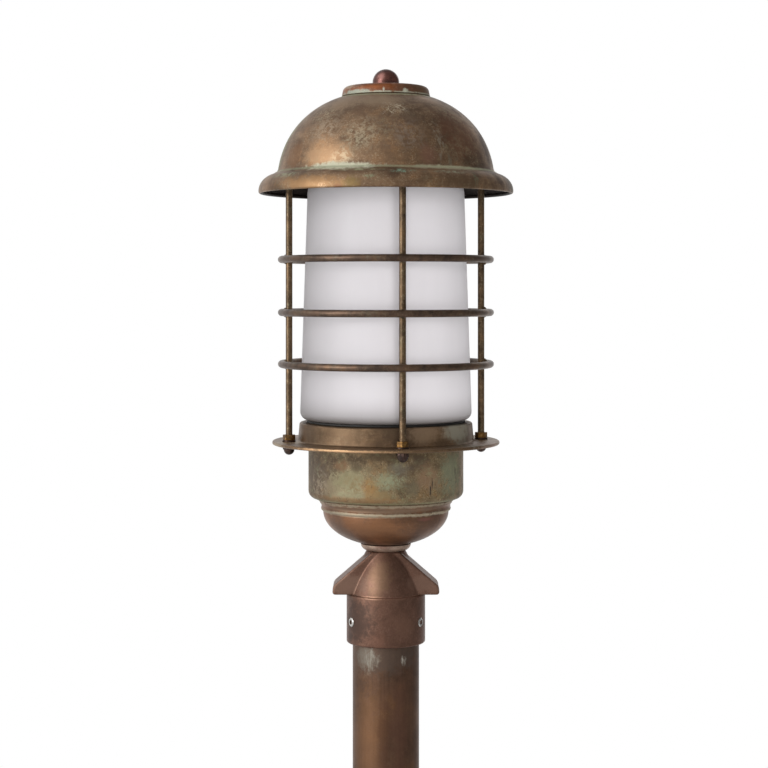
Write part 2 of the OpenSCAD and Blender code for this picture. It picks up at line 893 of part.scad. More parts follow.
module cage_ring_upper() {
    cage_ring(ring_top_up);
}

module flange_washers() {
    color("#8a6f43") at_rods()
        ring(rod_d / 2 + hole_play, washer_d / 2, flange_top, flange_top + washer_t);
}

module flange_nuts() {
    color("#a5813f") at_rods() translate([0, 0, flange_top + washer_t])
        rotate([0, 0, 30]) hex_nut(nut_af, nut_h, rod_d / 2 + thread_play);
}

// An acorn nut hangs from z = 0: a hexagon, then a round dome over a blind thread
module acorn_nut() {
    dome_r = nut_af / 2 * 0.97;
    hex_h = acorn_h - dome_r;
    difference() {
        union() {
            translate([0, 0, -hex_h]) hex_nut(nut_af, hex_h, rod_d / 2 + thread_play);
            turned(concat(
                [[0, -hex_h + 0.3], [dome_r, -hex_h + 0.3]],
                [for (p = arc([0, -hex_h], dome_r, 0, -90)) p]
            ));
        }
        translate([0, 0, -acorn_h * 0.7])
            cylinder(r = rod_d / 2 + thread_play, h = acorn_h);
    }
}

module acorn_nuts() {
    color("#4c3d36") at_rods() translate([0, 0, flange_z]) acorn_nut();
}

// A flat rim with two crossing arms, held by a nut above and below on each rod
module hood_spider() {
    rim = rod_ring_r + 6;
    color("#8a7248") translate([0, 0, spider_z]) linear_extrude(spider_t) difference() {
        union() {
            difference() {
                circle(r = rim);
                circle(r = rim - spider_w);
            }
            for (i = [0, 1])
                rotate(rod_turn + 90 * i)
                    square([2 * (rim - spider_w / 2), spider_w], center = true);
            circle(r = spider_w);
        }
        circle(r = stud_d / 2 + thread_play);
        for (i = [0 : 3])
            rotate(rod_turn + 90 * i)
                translate([0, -rod_ring_r]) circle(r = rod_d / 2 + hole_play);
    }
}

module spider_nuts() {
    color("#8a7248") for (z = [spider_z - nut_h, spider_top])
        at_rods() translate([0, 0, z])
            rotate([0, 0, 30]) hex_nut(nut_af, nut_h, rod_d / 2 + thread_play);
}

module hood_stud() {
    finial_top = cap_top_z + finial_foot + finial_d / 2;
    color("#8a7248") translate([0, 0, spider_z])
        cylinder(d = stud_d, h = finial_top - 5 - spider_z);
}

module stud_nuts() {
    under_crown = crown_z - hood_wall - washer_t - nut_h;
    color("#8a7248") for (z = [spider_top, under_crown])
        translate([0, 0, z]) hex_nut(nut_af, nut_h, stud_d / 2 + thread_play);
}

module crown_washer() {
    color("#8a7248")
        ring(stud_d / 2 + hole_play, seal_d / 2, crown_z - hood_wall - washer_t, crown_z - hood_wall);
}

// Height above the crease where the dome is so far out, and the reverse
dome_full = dome_h + belly_drop;
dome_wide = crease_r / pow(1 - pow(belly_drop / dome_full, dome_power), 1 / dome_power);
function dome_up(r) =
    dome_full * pow(1 - pow(r / dome_wide, dome_power), 1 / dome_power) - belly_drop;
function dome_out(up) =
    dome_wide * pow(1 - pow((up + belly_drop) / dome_full, dome_power), 1 / dome_power);

// The middle and the height of the brim's curve, and how far past level it turns in
brim = [brim_r - brim_round, crease_z - brim_fall];
brim_high = brim_fall - brim_dip;
brim_turn = 3;
function brim_at(a) = brim + [brim_round * cos(a), brim_high * sin(a)];

// The outside of the spun sheet, from the crown over the crease to an angle on the brim
function hood_path(brim_end) =
    let (
        steps = 26,
        soft = 2.5,
        crown_a = acos(pow(dome_out(dome_h - crown_cut) / dome_wide, dome_power / 2)),
        crease_a = acos(pow(dome_out(1.5 * soft) / dome_wide, dome_power / 2)),
        brim_a = acos((crease_r + 1.9 * soft - brim.x) / brim_round)
    )
    concat(
        [[stud_d / 2 + hole_play, crown_z]],
        [
            for (i = [0 : steps])
                let (
                    a = crown_a + (crease_a - crown_a) * i / steps,
                    out = dome_wide * pow(cos(a), 2 / dome_power)
                )
                    [out, crease_z + dome_full * pow(sin(a), 2 / dome_power) - belly_drop]
        ],
        rounded([crease_r, crease_z + soft], [crease_r, crease_z], brim_at(brim_a), soft),
        [for (i = [0 : 2 * arc_steps]) brim_at(brim_a + (brim_end - brim_a) * i / (2 * arc_steps))]
    );

module dome_hood() {
    lean = atan(brim_round / brim_high * tan(brim_turn));
    roll = brim_at(-brim_turn) - bead_r * [cos(lean), -sin(lean)];
    // The inside of the sheet ends where it meets the rolled edge
    back = bead_r / brim_high * 57.3;
    color("#7c6249") turned(concat(
        hood_path(-brim_turn),
        arc(roll, bead_r, -lean - 20, -lean - 260, 2 * arc_steps),
        reverse(beside(hood_path(back - brim_turn + 1), hood_wall))
    ));
}

module cap_seal() {
    color("#1d1b19") ring(stud_d / 2 + hole_play, seal_d / 2, crown_z, crown_z + seal_t);
}

module top_cap() {
    foot_r = cap_d / 2;
    // The inner corner of the lower edge rests on the dome, so the lean of the skirt counts
    seat_z = crease_z + dome_up(foot_r - cap_wall);
    foot_z = seat_z + cap_wall * cap_taper / (cap_top_z - seat_z) + 0.1;
    path = concat(
        [[stud_d / 2 + hole_play, cap_top_z]],
        rounded([0, cap_top_z], [foot_r - cap_taper, cap_top_z], [foot_r, foot_z], cap_round),
        [[foot_r, foot_z]]
    );
    color("#8a5238") turned(sheet(path, cap_wall));
}

module finial_nut() {
    foot_r = finial_d / 2;
    color("#5b3d38") difference() {
        turned(concat(
            [[0, cap_top_z], [foot_r, cap_top_z]],
            arc([0, cap_top_z + finial_foot], foot_r, 0, 90, 2 * arc_steps)
        ));
        translate([0, 0, cap_top_z - cut])
            cylinder(r = stud_d / 2 + thread_play, h = finial_foot + foot_r - 4 + cut);
    }
}

base_flange();
pole();
post_cap();
set_screws();
stem_nipple();
stem_nut_lower();
stem_nut_upper();
neck_disc();
base_bowl();
lamp_canister();
chassis_plate();
cable_grommet();
terminal_block();
earth_screw();
holder_bracket();
bracket_screws();
holder_nipple();
holder_nut();
lamp_holder();
holder_shell();
bulb();
lamp_leads();
glass_collar();
collar_screws();
glass_gasket();
glass_diffuser();
cage_rod_front();
cage_rod_right();
cage_rod_back();
cage_rod_left();
cage_ring_lower();
cage_ring_middle();
cage_ring_upper();
flange_washers();
flange_nuts();
acorn_nuts();
hood_spider();
spider_nuts();
hood_stud();
stud_nuts();
crown_washer();
dome_hood();
cap_seal();
top_cap();
finial_nut();
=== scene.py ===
"""Looks of the outdoor post lantern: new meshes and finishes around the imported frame.

All sizes in this file are millimetres in the frame of the part: +Z up, the ground at zero
and the front towards -Y. Meshes are made in metres, in place.
"""

import logging
import math
import random
from dataclasses import dataclass, field
from enum import Enum
from functools import partial
from typing import Callable, Iterable, Optional, Sequence, Union

import bmesh
import bpy
from mathutils import Matrix, Vector

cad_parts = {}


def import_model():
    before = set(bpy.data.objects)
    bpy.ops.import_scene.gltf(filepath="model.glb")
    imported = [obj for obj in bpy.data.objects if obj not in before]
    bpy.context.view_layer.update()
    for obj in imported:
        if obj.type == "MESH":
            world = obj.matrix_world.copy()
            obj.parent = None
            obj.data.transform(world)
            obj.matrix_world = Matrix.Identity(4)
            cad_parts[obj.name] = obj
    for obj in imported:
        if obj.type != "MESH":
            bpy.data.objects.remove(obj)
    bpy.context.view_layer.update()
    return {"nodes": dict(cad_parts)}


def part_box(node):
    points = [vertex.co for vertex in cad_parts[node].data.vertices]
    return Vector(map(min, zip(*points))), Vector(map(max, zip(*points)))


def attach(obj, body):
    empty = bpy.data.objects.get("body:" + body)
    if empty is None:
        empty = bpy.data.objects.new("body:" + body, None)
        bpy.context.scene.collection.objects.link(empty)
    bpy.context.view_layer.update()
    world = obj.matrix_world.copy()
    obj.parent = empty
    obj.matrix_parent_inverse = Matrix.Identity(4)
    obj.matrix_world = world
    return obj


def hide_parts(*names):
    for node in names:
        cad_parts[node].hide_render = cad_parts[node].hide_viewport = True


LOG = logging.getLogger("lantern")
MM = 0.001
FULL_TURN = math.tau
BODY = "root"
# Side of the photograph in pixels
PICTURE = 768.0
# Points nearer than this, in metres, are one point
CLOSE = 1e-6
# How far large faces lead the shading of rounded edges, where 50 is evenly
LARGE_FACES = 60

Socket = bpy.types.NodeSocket
Value = Union[float, int, Sequence[float], Socket, bpy.types.Node]


# Sizes that several pieces share


@dataclass(frozen=True)
class Span:
    """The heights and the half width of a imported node.

    Args:
        low: lowest height.
        high: greatest height.
        reach: half of its width along X.
    """

    low: float
    high: float
    reach: float

    @classmethod
    def of(cls, node: str) -> "Span":
        """Measures a node of the frame."""
        low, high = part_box(node)
        return cls(low[2] / MM, high[2] / MM, (high[0] - low[0]) / MM / 2)


@dataclass(frozen=True)
class Corner:
    """One corner of a turned outline.

    Args:
        out: distance from the axis.
        up: height.
        soft: radius of its rounding, or zero for a sharp corner.
    """

    out: float
    up: float
    soft: float = 0.0


@dataclass(frozen=True)
class RodPlaces:
    """Where the four rods of the cage stand.

    Args:
        circle: radius of the circle that they stand on.
        turn: turn of the front rod to the right, in degrees.
        diameter: diameter of a rod.
    """

    circle: float = 88.0
    turn: float = 9.3
    diameter: float = 6.0

    def angles(self) -> list[float]:
        """Angles of the rods from the front, in radians."""
        return [math.radians(self.turn + 90 * k) for k in range(4)]

    def at(self, angle: float, circle: Optional[float] = None) -> Vector:
        """Point at an angle from the front on a circle, in millimetres."""
        out = self.circle if circle is None else circle
        return Vector((out * math.sin(angle), -out * math.cos(angle), 0.0))


# Mesh tools


def linear(code: str) -> tuple[float, float, float, float]:
    """Turns an sRGB hex colour into linear values.

    Args:
        code: six hex digits after a hash sign.

    Returns:
        Red, green, blue and an alpha of one.
    """
    values = [int(code[i : i + 2], 16) / 255 for i in (1, 3, 5)]
    mixed = [v / 12.92 if v <= 0.04045 else ((v + 0.055) / 1.055) ** 2.4 for v in values]
    return (mixed[0], mixed[1], mixed[2], 1.0)


def arc(
    out: float, up: float, radius: float, start: float, end: float, steps: int
) -> list[Corner]:
    """Corners along an arc in the plane of a turned outline.

    Args:
        out: distance of the centre from the axis.
        up: height of the centre.
        radius: radius of the arc.
        start: angle of the first corner in degrees, from level outwards.
        end: angle of the last corner in degrees.
        steps: number of steps between them.

    Returns:
        The corners, first and last included.
    """
    angles = [math.radians(start + (end - start) * i / steps) for i in range(steps + 1)]
    return [Corner(out + radius * math.cos(a), up + radius * math.sin(a)) for a in angles]


def hoop(out: float, up: float, radius: float, points: int) -> list[Corner]:
    """Corners round the section of a wire.

    Args:
        out: distance of its middle from the axis.
        up: height of its middle.
        radius: its radius.
        points: number of corners.

    Returns:
        The corners, for a closed outline.
    """
    return arc(out, up, radius, 0, 360 - 360 / points, points - 1)


def outline(corners: Sequence[Corner], closed: bool, steps: int = 6) -> bmesh.types.BMesh:
    """Draws a turned piece's outline and rounds its corners.

    Args:
        corners: the corners in order.
        closed: whether the last corner joins the first.
        steps: segments of each rounding.

    Returns:
        A mesh of edges in the XZ plane, in metres.
    """
    mesh = bmesh.new()
    verts = [mesh.verts.new((c.out * MM, 0.0, c.up * MM)) for c in corners]
    pairs = list(zip(verts, verts[1:]))
    if closed:
        pairs.append((verts[-1], verts[0]))
    for pair in pairs:
        mesh.edges.new(pair)
    for index, corner in enumerate(corners):
        if corner.soft <= 0:
            continue
        here = verts[index].co
        before = (verts[index - 1].co - here).normalized()
        after = (verts[(index + 1) % len(verts)].co - here).normalized()
        half = before.angle(after) / 2
        bmesh.ops.bevel(
            mesh,
            geom=[verts[index]],
            offset=corner.soft * MM / math.tan(half),
            offset_type="OFFSET",
            segments=steps,
            profile=0.5,
            affect="VERTICES",
            material=-1,
        )
        verts[index] = mesh.verts.new(here)
    bmesh.ops.delete(mesh, geom=[v for v in mesh.verts if not v.link_edges], context="VERTS")
    return mesh


def turn(mesh: bmesh.types.BMesh, steps: int = 160) -> None:
    """Spins an outline once round the Z axis and closes its poles.

    Args:
        mesh: the outline, which becomes the turned surface.
        steps: segments of the full turn.
    """
    bmesh.ops.spin(
        mesh,
        geom=mesh.verts[:] + mesh.edges[:],
        cent=(0, 0, 0),
        axis=(0, 0, 1),
        angle=FULL_TURN,
        steps=steps,
        use_merge=True,
    )
    bmesh.ops.remove_doubles(mesh, verts=mesh.verts[:], dist=CLOSE)
    bmesh.ops.recalc_face_normals(mesh, faces=mesh.faces[:])


def verts_of(parts: Iterable[object]) -> list[bmesh.types.BMVert]:
    """Picks the vertices out of what an operator gives back."""
    return [part for part in parts if isinstance(part, bmesh.types.BMVert)]


def joined(mesh: bmesh.types.BMesh, other: bmesh.types.BMesh) -> None:
    """Adds another mesh to a mesh.

    Args:
        mesh: the mesh that grows.
        other: the mesh that is added and freed.
    """
    sheet = bpy.data.meshes.new("joined")
    other.to_mesh(sheet)
    other.free()
    mesh.from_mesh(sheet)
    bpy.data.meshes.remove(sheet)


def soften(
    mesh: bmesh.types.BMesh, edges: Sequence[bmesh.types.BMEdge], width: float, steps: int = 3
) -> None:
    """Softens edges.

    Args:
        mesh: the mesh.
        edges: its edges to soften.
        width: width of the softening, measured from each edge.
        steps: segments across it.
    """
    bmesh.ops.bevel(
        mesh,
        geom=edges,
        offset=width * MM,
        segments=steps,
        profile=0.5,
        affect="EDGES",
        material=-1,
    )


def hexagon_prism(
    mesh: bmesh.types.BMesh, flats: float, low: float, high: float, soft: float
) -> None:
    """Adds a hexagon prism with softened edges at the axis.

    Args:
        mesh: the mesh to add to.
        flats: width across the flats.
        low: lower height.
        high: upper height.
        soft: width of the softened edges.
    """
    corner = flats * MM / 2 / math.cos(math.pi / 6)
    made = bmesh.ops.create_cone(
        mesh,
        cap_ends=True,
        segments=6,
        radius1=corner,
        radius2=corner,
        depth=(high - low) * MM,
        matrix=Matrix.Translation((0, 0, (high + low) * MM / 2)),
    )
    soften(mesh, list({e for v in made["verts"] for e in v.link_edges}), soft)


def copies(mesh: bmesh.types.BMesh, places: Iterable[Matrix]) -> None:
    """Repeats the whole mesh at each place and drops the first one.

    Args:
        mesh: the mesh to repeat.
        places: where the copies go.
    """
    source = mesh.verts[:] + mesh.edges[:] + mesh.faces[:]
    for place in places:
        made = bmesh.ops.duplicate(mesh, geom=source)["geom"]
        bmesh.ops.transform(mesh, matrix=place, verts=verts_of(made))
    bmesh.ops.delete(mesh, geom=verts_of(source), context="VERTS")


def finished(mesh: bmesh.types.BMesh, name: str, sharp: float = 32.0) -> bpy.types.Object:
    """Makes an object of a mesh, with smooth faces and sharp edges where they turn hard.

    Args:
        mesh: the mesh, which is freed.
        name: name of the object.
        sharp: angle in degrees from which an edge stays sharp.

    Returns:
        The object at the origin.
    """
    for face in mesh.faces:
        face.smooth = True
    for edge in mesh.edges:
        edge.smooth = edge.calc_face_angle(0.0) < math.radians(sharp)
    data = bpy.data.meshes.new(name)
    mesh.to_mesh(data)
    mesh.free()
    piece = bpy.data.objects.new(name, data)
    bpy.context.scene.collection.objects.link(piece)
    return piece


def even_normals(piece: bpy.types.Object) -> None:
    """Keeps flat faces flat in the shading beside rounded edges.

    Args:
        piece: the piece.
    """
    modifier = piece.modifiers.new("even_normals", "WEIGHTED_NORMAL")
    modifier.keep_sharp = True
    modifier.weight = LARGE_FACES


def baked(piece: bpy.types.Object) -> None:
    """Applies a piece's modifiers to its mesh.

    Args:
        piece: the piece.
    """
    graph = bpy.context.evaluated_depsgraph_get()
    data = bpy.data.meshes.new_from_object(piece.evaluated_get(graph))
    piece.modifiers.clear()
    piece.data = data


# Materials

PLUS = {"operation": "ADD"}
MINUS = {"operation": "SUBTRACT"}
TIMES = {"operation": "MULTIPLY"}
OVER = {"operation": "DIVIDE"}
LARGER = {"operation": "MAXIMUM"}
SIZE_OF = {"operation": "ABSOLUTE"}
SOFT_STEP = {"interpolation_type": "SMOOTHSTEP"}
COLOURS = {"data_type": "RGBA"}


def add_node(
    tree: bpy.types.NodeTree,
    kind: str,
    settings: Optional[dict[str, object]] = None,
    **inputs: Value,
) -> bpy.types.Node:
    """Adds a node with its settings and links.

    Args:
        tree: the material's tree.
        kind: the node's type name without its ShaderNode start.
        settings: attributes of the node.
        inputs: values, sockets, or nodes whose first output is taken. An input is named
            with underscores for spaces, or by its number after the letter i.

    Returns:
        The new node.
    """
    node = tree.nodes.new("ShaderNode" + kind)
    for key, value in (settings or {}).items():
        setattr(node, key, value)
    for key, value in inputs.items():
        numbered = key[0] == "i" and key[1:].isdigit()
        target = node.inputs[int(key[1:])] if numbered else node.inputs[key.replace("_", " ")]
        source = value.outputs[0] if isinstance(value, bpy.types.Node) else value
        if isinstance(source, Socket):
            tree.links.new(source, target)
        else:
            target.default_value = source
    return node


def empty_material(name: str) -> bpy.types.Material:
    """Makes a material without a node.

    Args:
        name: its name.

    Returns:
        The material.
    """
    made = bpy.data.materials.new(name)
    made.use_nodes = True
    made.node_tree.nodes.clear()
    return made


class Grain(Enum):
    """The way a surface was made, as the stretch of its fine marks along X, Y and Z."""

    SPUN = (0.06, 0.06, 1.0)
    DRAWN = (1.0, 1.0, 0.035)
    CAST = (1.0, 1.0, 1.001)


class Wear(Enum):
    """The form of a stain."""

    STAIN = "smooth with a ragged edge"
    FLECKS = "broken into flecks"
    SCRIBBLE = "thin lines that cross"
    RUNS = "thin upright runs"


@dataclass(frozen=True)
class Band:
    """Verdigris that gathers in a ring at one height; on the bowl's beads and the disc's rim it is
    partly a painted highlight.

    Args:
        up: height of its middle.
        half: half of its height.
        amount: how much of it is covered.
        reach: smallest distance from the axis where it grows.
    """

    up: float
    half: float
    amount: float
    reach: float = 0.0


@dataclass(frozen=True)
class Patch:
    """A stain, a worn place, a painted highlight or painted shade on a turned surface, which the
    far side has once more.

    Args:
        turn: its place round the axis in degrees from the front, positive to the right.
        up: its height.
        wide: half of its width along the surface.
        tall: half of its height.
        colour: its colour.
        amount: how much it covers at its middle.
        wear: its form.
        dry: how far it dulls the metal, from zero to one.
    """

    turn: float
    up: float
    wide: float
    tall: float
    colour: str
    amount: float
    wear: Wear = Wear.STAIN
    dry: float = 0.3


@dataclass(frozen=True)
class AgedMetal:
    """Brass or copper with a brown patina, verdigris and rubbed spots.

    Args:
        name: name of the material.
        slot: material slot, which this script does not use.
        dark: colour of the oldest patina.
        brown: colour of most of the surface.
        rubbed: colour where the metal shows through.
        pale: colour of the fine scratches and dry flecks.
        green: colour of the verdigris.
        grain: how the surface was made.
        blotch: size of the patina's blotches.
        mark: thickness of the fine marks.
        speck: size of the small dark and pale specks.
        pale_amount: how much of the surface has pale flecks.
        green_amount: how much of the surface has verdigris.
        scratches: how strong the thin dark scratches are.
        contrast: how far the fine marks lighten and darken the surface.
        pitted: how dark the small pits are.
        metallic: how much of the surface is bare metal.
        rough: roughness of the rubbed and of the oldest places.
        depth: depth of the marks.
        bands: rings of verdigris, some of them partly painted highlights.
        patches: stains, painted highlights and painted shade at known places.
        seed: shift of every pattern in metres, so that two finishes differ.
    """

    name: str
    slot: str
    dark: str
    brown: str
    rubbed: str
    pale: str = "#A8957A"
    green: str = "#8FA58C"
    grain: Grain = Grain.CAST
    blotch: float = 30.0
    mark: float = 1.6
    speck: float = 1.3
    pale_amount: float = 0.25
    green_amount: float = 0.1
    scratches: float = 0.0
    contrast: float = 0.12
    pitted: float = 0.4
    metallic: float = 0.75
    rough: tuple[float, float] = (0.36, 0.52)
    depth: float = 0.1
    bands: tuple[Band, ...] = ()
    patches: tuple[Patch, ...] = ()
    seed: float = 0.0

    def material(self) -> bpy.types.Material:
        """Builds the material."""
        made = empty_material(self.name)
        Patina(self, made.node_tree).build()
        return made


class Patina:
    """Builds the nodes of an aged metal, layer over layer."""

    # Sizes in millimetres of the dry flecks, the crossing lines and the rain runs
    FLECK = 4.0
    LINE = 9.0
    RUN = 2.2
    # Characters of the noises
    SOFT = {"Detail": 6.0, "Roughness": 0.6, "Distortion": 0.4}
    CLOUDY = {"Detail": 6.0, "Roughness": 0.7, "Distortion": 0.3}
    CHIPPED = {"Detail": 8.0, "Roughness": 0.76, "Distortion": 0.5}
    FINE = {"Detail": 3.0, "Roughness": 0.6}
    CROSSING = {"Detail": 2.0, "Roughness": 0.5, "Distortion": 2.5}
    DRIPPING = {"Detail": 4.0, "Roughness": 0.65, "Distortion": 0.3}
    GROWN = {"Detail": 5.0, "Roughness": 0.6}
    BENT = {"Detail": 2.0, "Roughness": 0.5, "Distortion": 1.2}
    # Sizes of the clouding, the verdigris and the bends of a scratch, as shares of a blotch
    CLOUD_SHARE = 0.3
    GREEN_SHARE = 0.8
    SCRATCH_SHARE = 0.5
    # Shares of the large blotches and of the clouding in the tone of the patina
    LARGE_SHARE = 0.65
    SMALL_SHARE = 0.35
    # Share of the seed that shifts the patterns towards the back, and a run's stretch
    SEED_BACK = 0.7
    DOWNWARD = (1.0, 1.0, 0.16)
    # An amount is a share of the surface, and a pattern covers half of it
    AMPLE = 2
    # Where a layer begins and where it is full, as values of its noise
    OLD_TONE = {"i1": 0.54, "i2": 0.36}
    WORN_TONE = {"i1": 0.5, "i2": 0.7}
    ROUGH_TONE = {"i1": 0.38, "i2": 0.66}
    MARKED = {"i1": 0.3, "i2": 0.7}
    SPECKLED = {"i1": 0.5, "i2": 0.62}
    CLOUDED = {"i1": 0.42, "i2": 0.62}
    PITTED = {"i1": 0.42, "i2": 0.34}
    FLECKED = {"i1": 0.45, "i2": 0.57}
    RUNNING = {"i1": 0.46, "i2": 0.6}
    GREEN_WIDE = {"i1": 0.5, "i2": 0.68}
    GREEN_CLOSE = {"i1": 0.44, "i2": 0.6}
    GREEN_RING = {"i1": 0.36, "i2": 0.5}
    SCRATCHED = {"i1": 0.52, "i2": 0.58}
    # Half the width of a crossing line and of a scratch, as distances from the noise's middle
    LINE_HALF = {"i1": 0.035, "i2": 0.012}
    SCRATCH_HALF = {"i1": 0.006, "i2": 0.002}
    # A patch fades between these shares of its size, and its edge is torn
    PATCH_EDGE = {"i1": 1.1, "i2": 0.35}
    PATCH_TORN = 1.8
    # The same for a ring of verdigris, with the distance in which it starts
    BAND_FULL = 0.2
    BAND_TORN = 1.6
    BAND_START = 1
    # How far verdigris and pale flecks dull the metal, and how rough a dull place is
    GREEN_DRY = 0.8
    FLECK_DRY = 0.3
    DRY_ROUGH = 0.3
    # Heights of the marks, the specks and the dry crust, and depth of a scratch
    MARK_HIGH = 0.5
    SPECK_HIGH = 0.35
    CRUST_HIGH = 0.35
    SCRATCH_DEEP = 0.8
    SCRATCH_COLOUR = "#2E241D"

    def __init__(self, metal: AgedMetal, tree: bpy.types.NodeTree) -> None:
        """Adds the places and the noises that the layers share.

        Args:
            metal: the finish.
            tree: the tree of its material.
        """
        self.metal = metal
        self.add = partial(add_node, tree)
        self.forms: dict[Wear, bpy.types.Node] = {}
        place = self.add("TexCoord").outputs["Object"]
        axes = self.add("SeparateXYZ", Vector=place)
        level = self.add("CombineXYZ", X=axes.outputs[0], Y=axes.outputs[1])
        front = self.add("Math", TIMES, i0=axes.outputs[1], i1=-1.0)
        self.up = axes.outputs[2]
        self.out = self.add("VectorMath", {"operation": "LENGTH"}, i0=level).outputs["Value"]
        self.angle = self.add("Math", {"operation": "ARCTAN2"}, i0=axes.outputs[0], i1=front)
        self.shifted = self.add(
            "Mapping", Vector=place, Location=(metal.seed, metal.seed * self.SEED_BACK, 0.0)
        )
        at = self.shifted
        cloud = metal.blotch * self.CLOUD_SHARE
        self.blotches = self.add("TexNoise", Vector=at, Scale=1 / (metal.blotch * MM), **self.SOFT)
        self.cloud = self.add("TexNoise", Vector=at, Scale=1 / (cloud * MM), **self.CLOUDY)
        self.flecks = self.add("TexNoise", Vector=at, Scale=1 / (self.FLECK * MM), **self.CHIPPED)
        # Real pits, spinning lines and drawing lines are some tenths of a millimetre wide,
        # too fine to show, so specks and marks are drawn one to two millimetres wide
        self.specks = self.add("TexNoise", Vector=at, Scale=1 / (metal.speck * MM), **self.FINE)
        along = self.add("Mapping", Vector=at, Scale=metal.grain.value)
        self.marks = self.add("TexNoise", Vector=along, Scale=1 / (metal.mark * MM), **self.FINE)
        torn = self.add("Math", PLUS, i0=self.cloud, i1=self.flecks)
        self.ragged = self.add("Math", MINUS, i0=torn, i1=1.0)
        self.colour: Value = linear(metal.brown)
        self.dry: Value = 0.0

    def cover(self, share: Value, colour: str, dry: float = 0.0) -> None:
        """Lays a colour over what is there.

        Args:
            share: how much it covers.
            colour: the colour.
            dry: how far it dulls the metal.
        """
        self.colour = self.add(
            "Mix", COLOURS, i0=share, i6=self.colour, i7=linear(colour)
        ).outputs[2]
        if dry > 0:
            dulled = self.add("Math", TIMES, i0=share, i1=dry)
            self.dry = self.add("Math", LARGER, i0=self.dry, i1=dulled)

    def build(self) -> None:
        """Lays every layer and joins them to the shader."""
        metal, add = self.metal, self.add
        self.lay_patina()
        for patch in metal.patches:
            self.cover(self.patch_share(patch), patch.colour, patch.dry)
        self.cover(self.verdigris_share(), metal.green, self.GREEN_DRY)
        marks = add("Math", TIMES, i0=self.marks, i1=self.MARK_HIGH)
        specks = add("Math", TIMES, i0=self.specks, i1=self.SPECK_HIGH)
        crust = add("Math", TIMES, i0=self.dry, i1=self.CRUST_HIGH)
        height = add("Math", PLUS, i0=add("Math", PLUS, i0=marks, i1=specks), i1=crust)
        if metal.scratches > 0:
            cut = self.scratch_share()
            self.cover(cut, self.SCRATCH_COLOUR)
            deep = add("Math", TIMES, i0=cut, i1=self.SCRATCH_DEEP)
            height = add("Math", MINUS, i0=height, i1=deep)
        shine, dull = metal.rough
        rough = add("MapRange", Value=self.tone, i3=dull, i4=shine, **self.ROUGH_TONE)
        dulled = add("Math", TIMES, i0=self.dry, i1=self.DRY_ROUGH)
        rough = add("Math", PLUS, i0=rough, i1=dulled)
        bare = add("Math", MINUS, i0=1.0, i1=self.dry)
        bump = add("Bump", Strength=0.6, Distance=metal.depth * MM, Height=height)
        shader = add(
            "BsdfPrincipled",
            Base_Color=self.colour,
            Metallic=add("Math", TIMES, i0=bare, i1=metal.metallic),
            Roughness=rough,
            Normal=bump,
        )
        add("OutputMaterial", Surface=shader)

    def lay_patina(self) -> None:
        """Lays the brown patina with its worn places, fine marks, flecks and pits."""
        metal, add = self.metal, self.add
        large = add("Math", TIMES, i0=self.blotches, i1=self.LARGE_SHARE)
        small = add("Math", TIMES, i0=self.cloud, i1=self.SMALL_SHARE)
        self.tone = add("Math", PLUS, i0=large, i1=small)
        old = add("MapRange", SOFT_STEP, Value=self.tone, **self.OLD_TONE)
        self.cover(old, metal.dark)
        worn = add("MapRange", SOFT_STEP, Value=self.tone, **self.WORN_TONE)
        self.cover(worn, metal.rubbed)
        low, high = 1 - metal.contrast, 1 + metal.contrast
        light = add("MapRange", Value=self.marks, i3=low, i4=high, **self.MARKED)
        shade = add("CombineColor", i0=light, i1=light, i2=light)
        self.colour = add(
            "Mix", COLOURS | {"blend_type": "MULTIPLY"}, i0=1.0, i6=self.colour, i7=shade
        ).outputs[2]
        fine = add("MapRange", SOFT_STEP, Value=self.specks, **self.SPECKLED)
        where = add("MapRange", SOFT_STEP, Value=self.cloud, **self.CLOUDED)
        flecks = add("Math", TIMES, i0=fine, i1=where)
        flecks = add("Math", TIMES, i0=flecks, i1=metal.pale_amount * self.AMPLE)
        self.cover(flecks, metal.pale, self.FLECK_DRY)
        deep = add("MapRange", SOFT_STEP, Value=self.specks, **self.PITTED)
        pits = add("Math", TIMES, i0=deep, i1=metal.pitted)
        self.cover(pits, metal.dark)

    def form(self, wear: Wear) -> bpy.types.Node:
        """Pattern of a form of wear, built at its first use.

        Args:
            wear: the form.

        Returns:
            A node from zero to one.
        """
        add = self.add
        if wear not in self.forms:
            if wear is Wear.SCRIBBLE:
                # Such a scratch is a hair wide, so it is drawn about a pixel wide
                scale = 1 / (self.LINE * MM)
                bent = add("TexNoise", Vector=self.shifted, Scale=scale, **self.CROSSING)
                line = add("Math", SIZE_OF, i0=add("Math", MINUS, i0=bent, i1=0.5))
                made = add("MapRange", SOFT_STEP, Value=line, **self.LINE_HALF)
            elif wear is Wear.RUNS:
                fall = add("Mapping", Vector=self.shifted, Scale=self.DOWNWARD)
                runs = add("TexNoise", Vector=fall, Scale=1 / (self.RUN * MM), **self.DRIPPING)
                made = add("MapRange", SOFT_STEP, Value=runs, **self.RUNNING)
            else:
                made = add("MapRange", SOFT_STEP, Value=self.flecks, **self.FLECKED)
            self.forms[wear] = made
        return self.forms[wear]

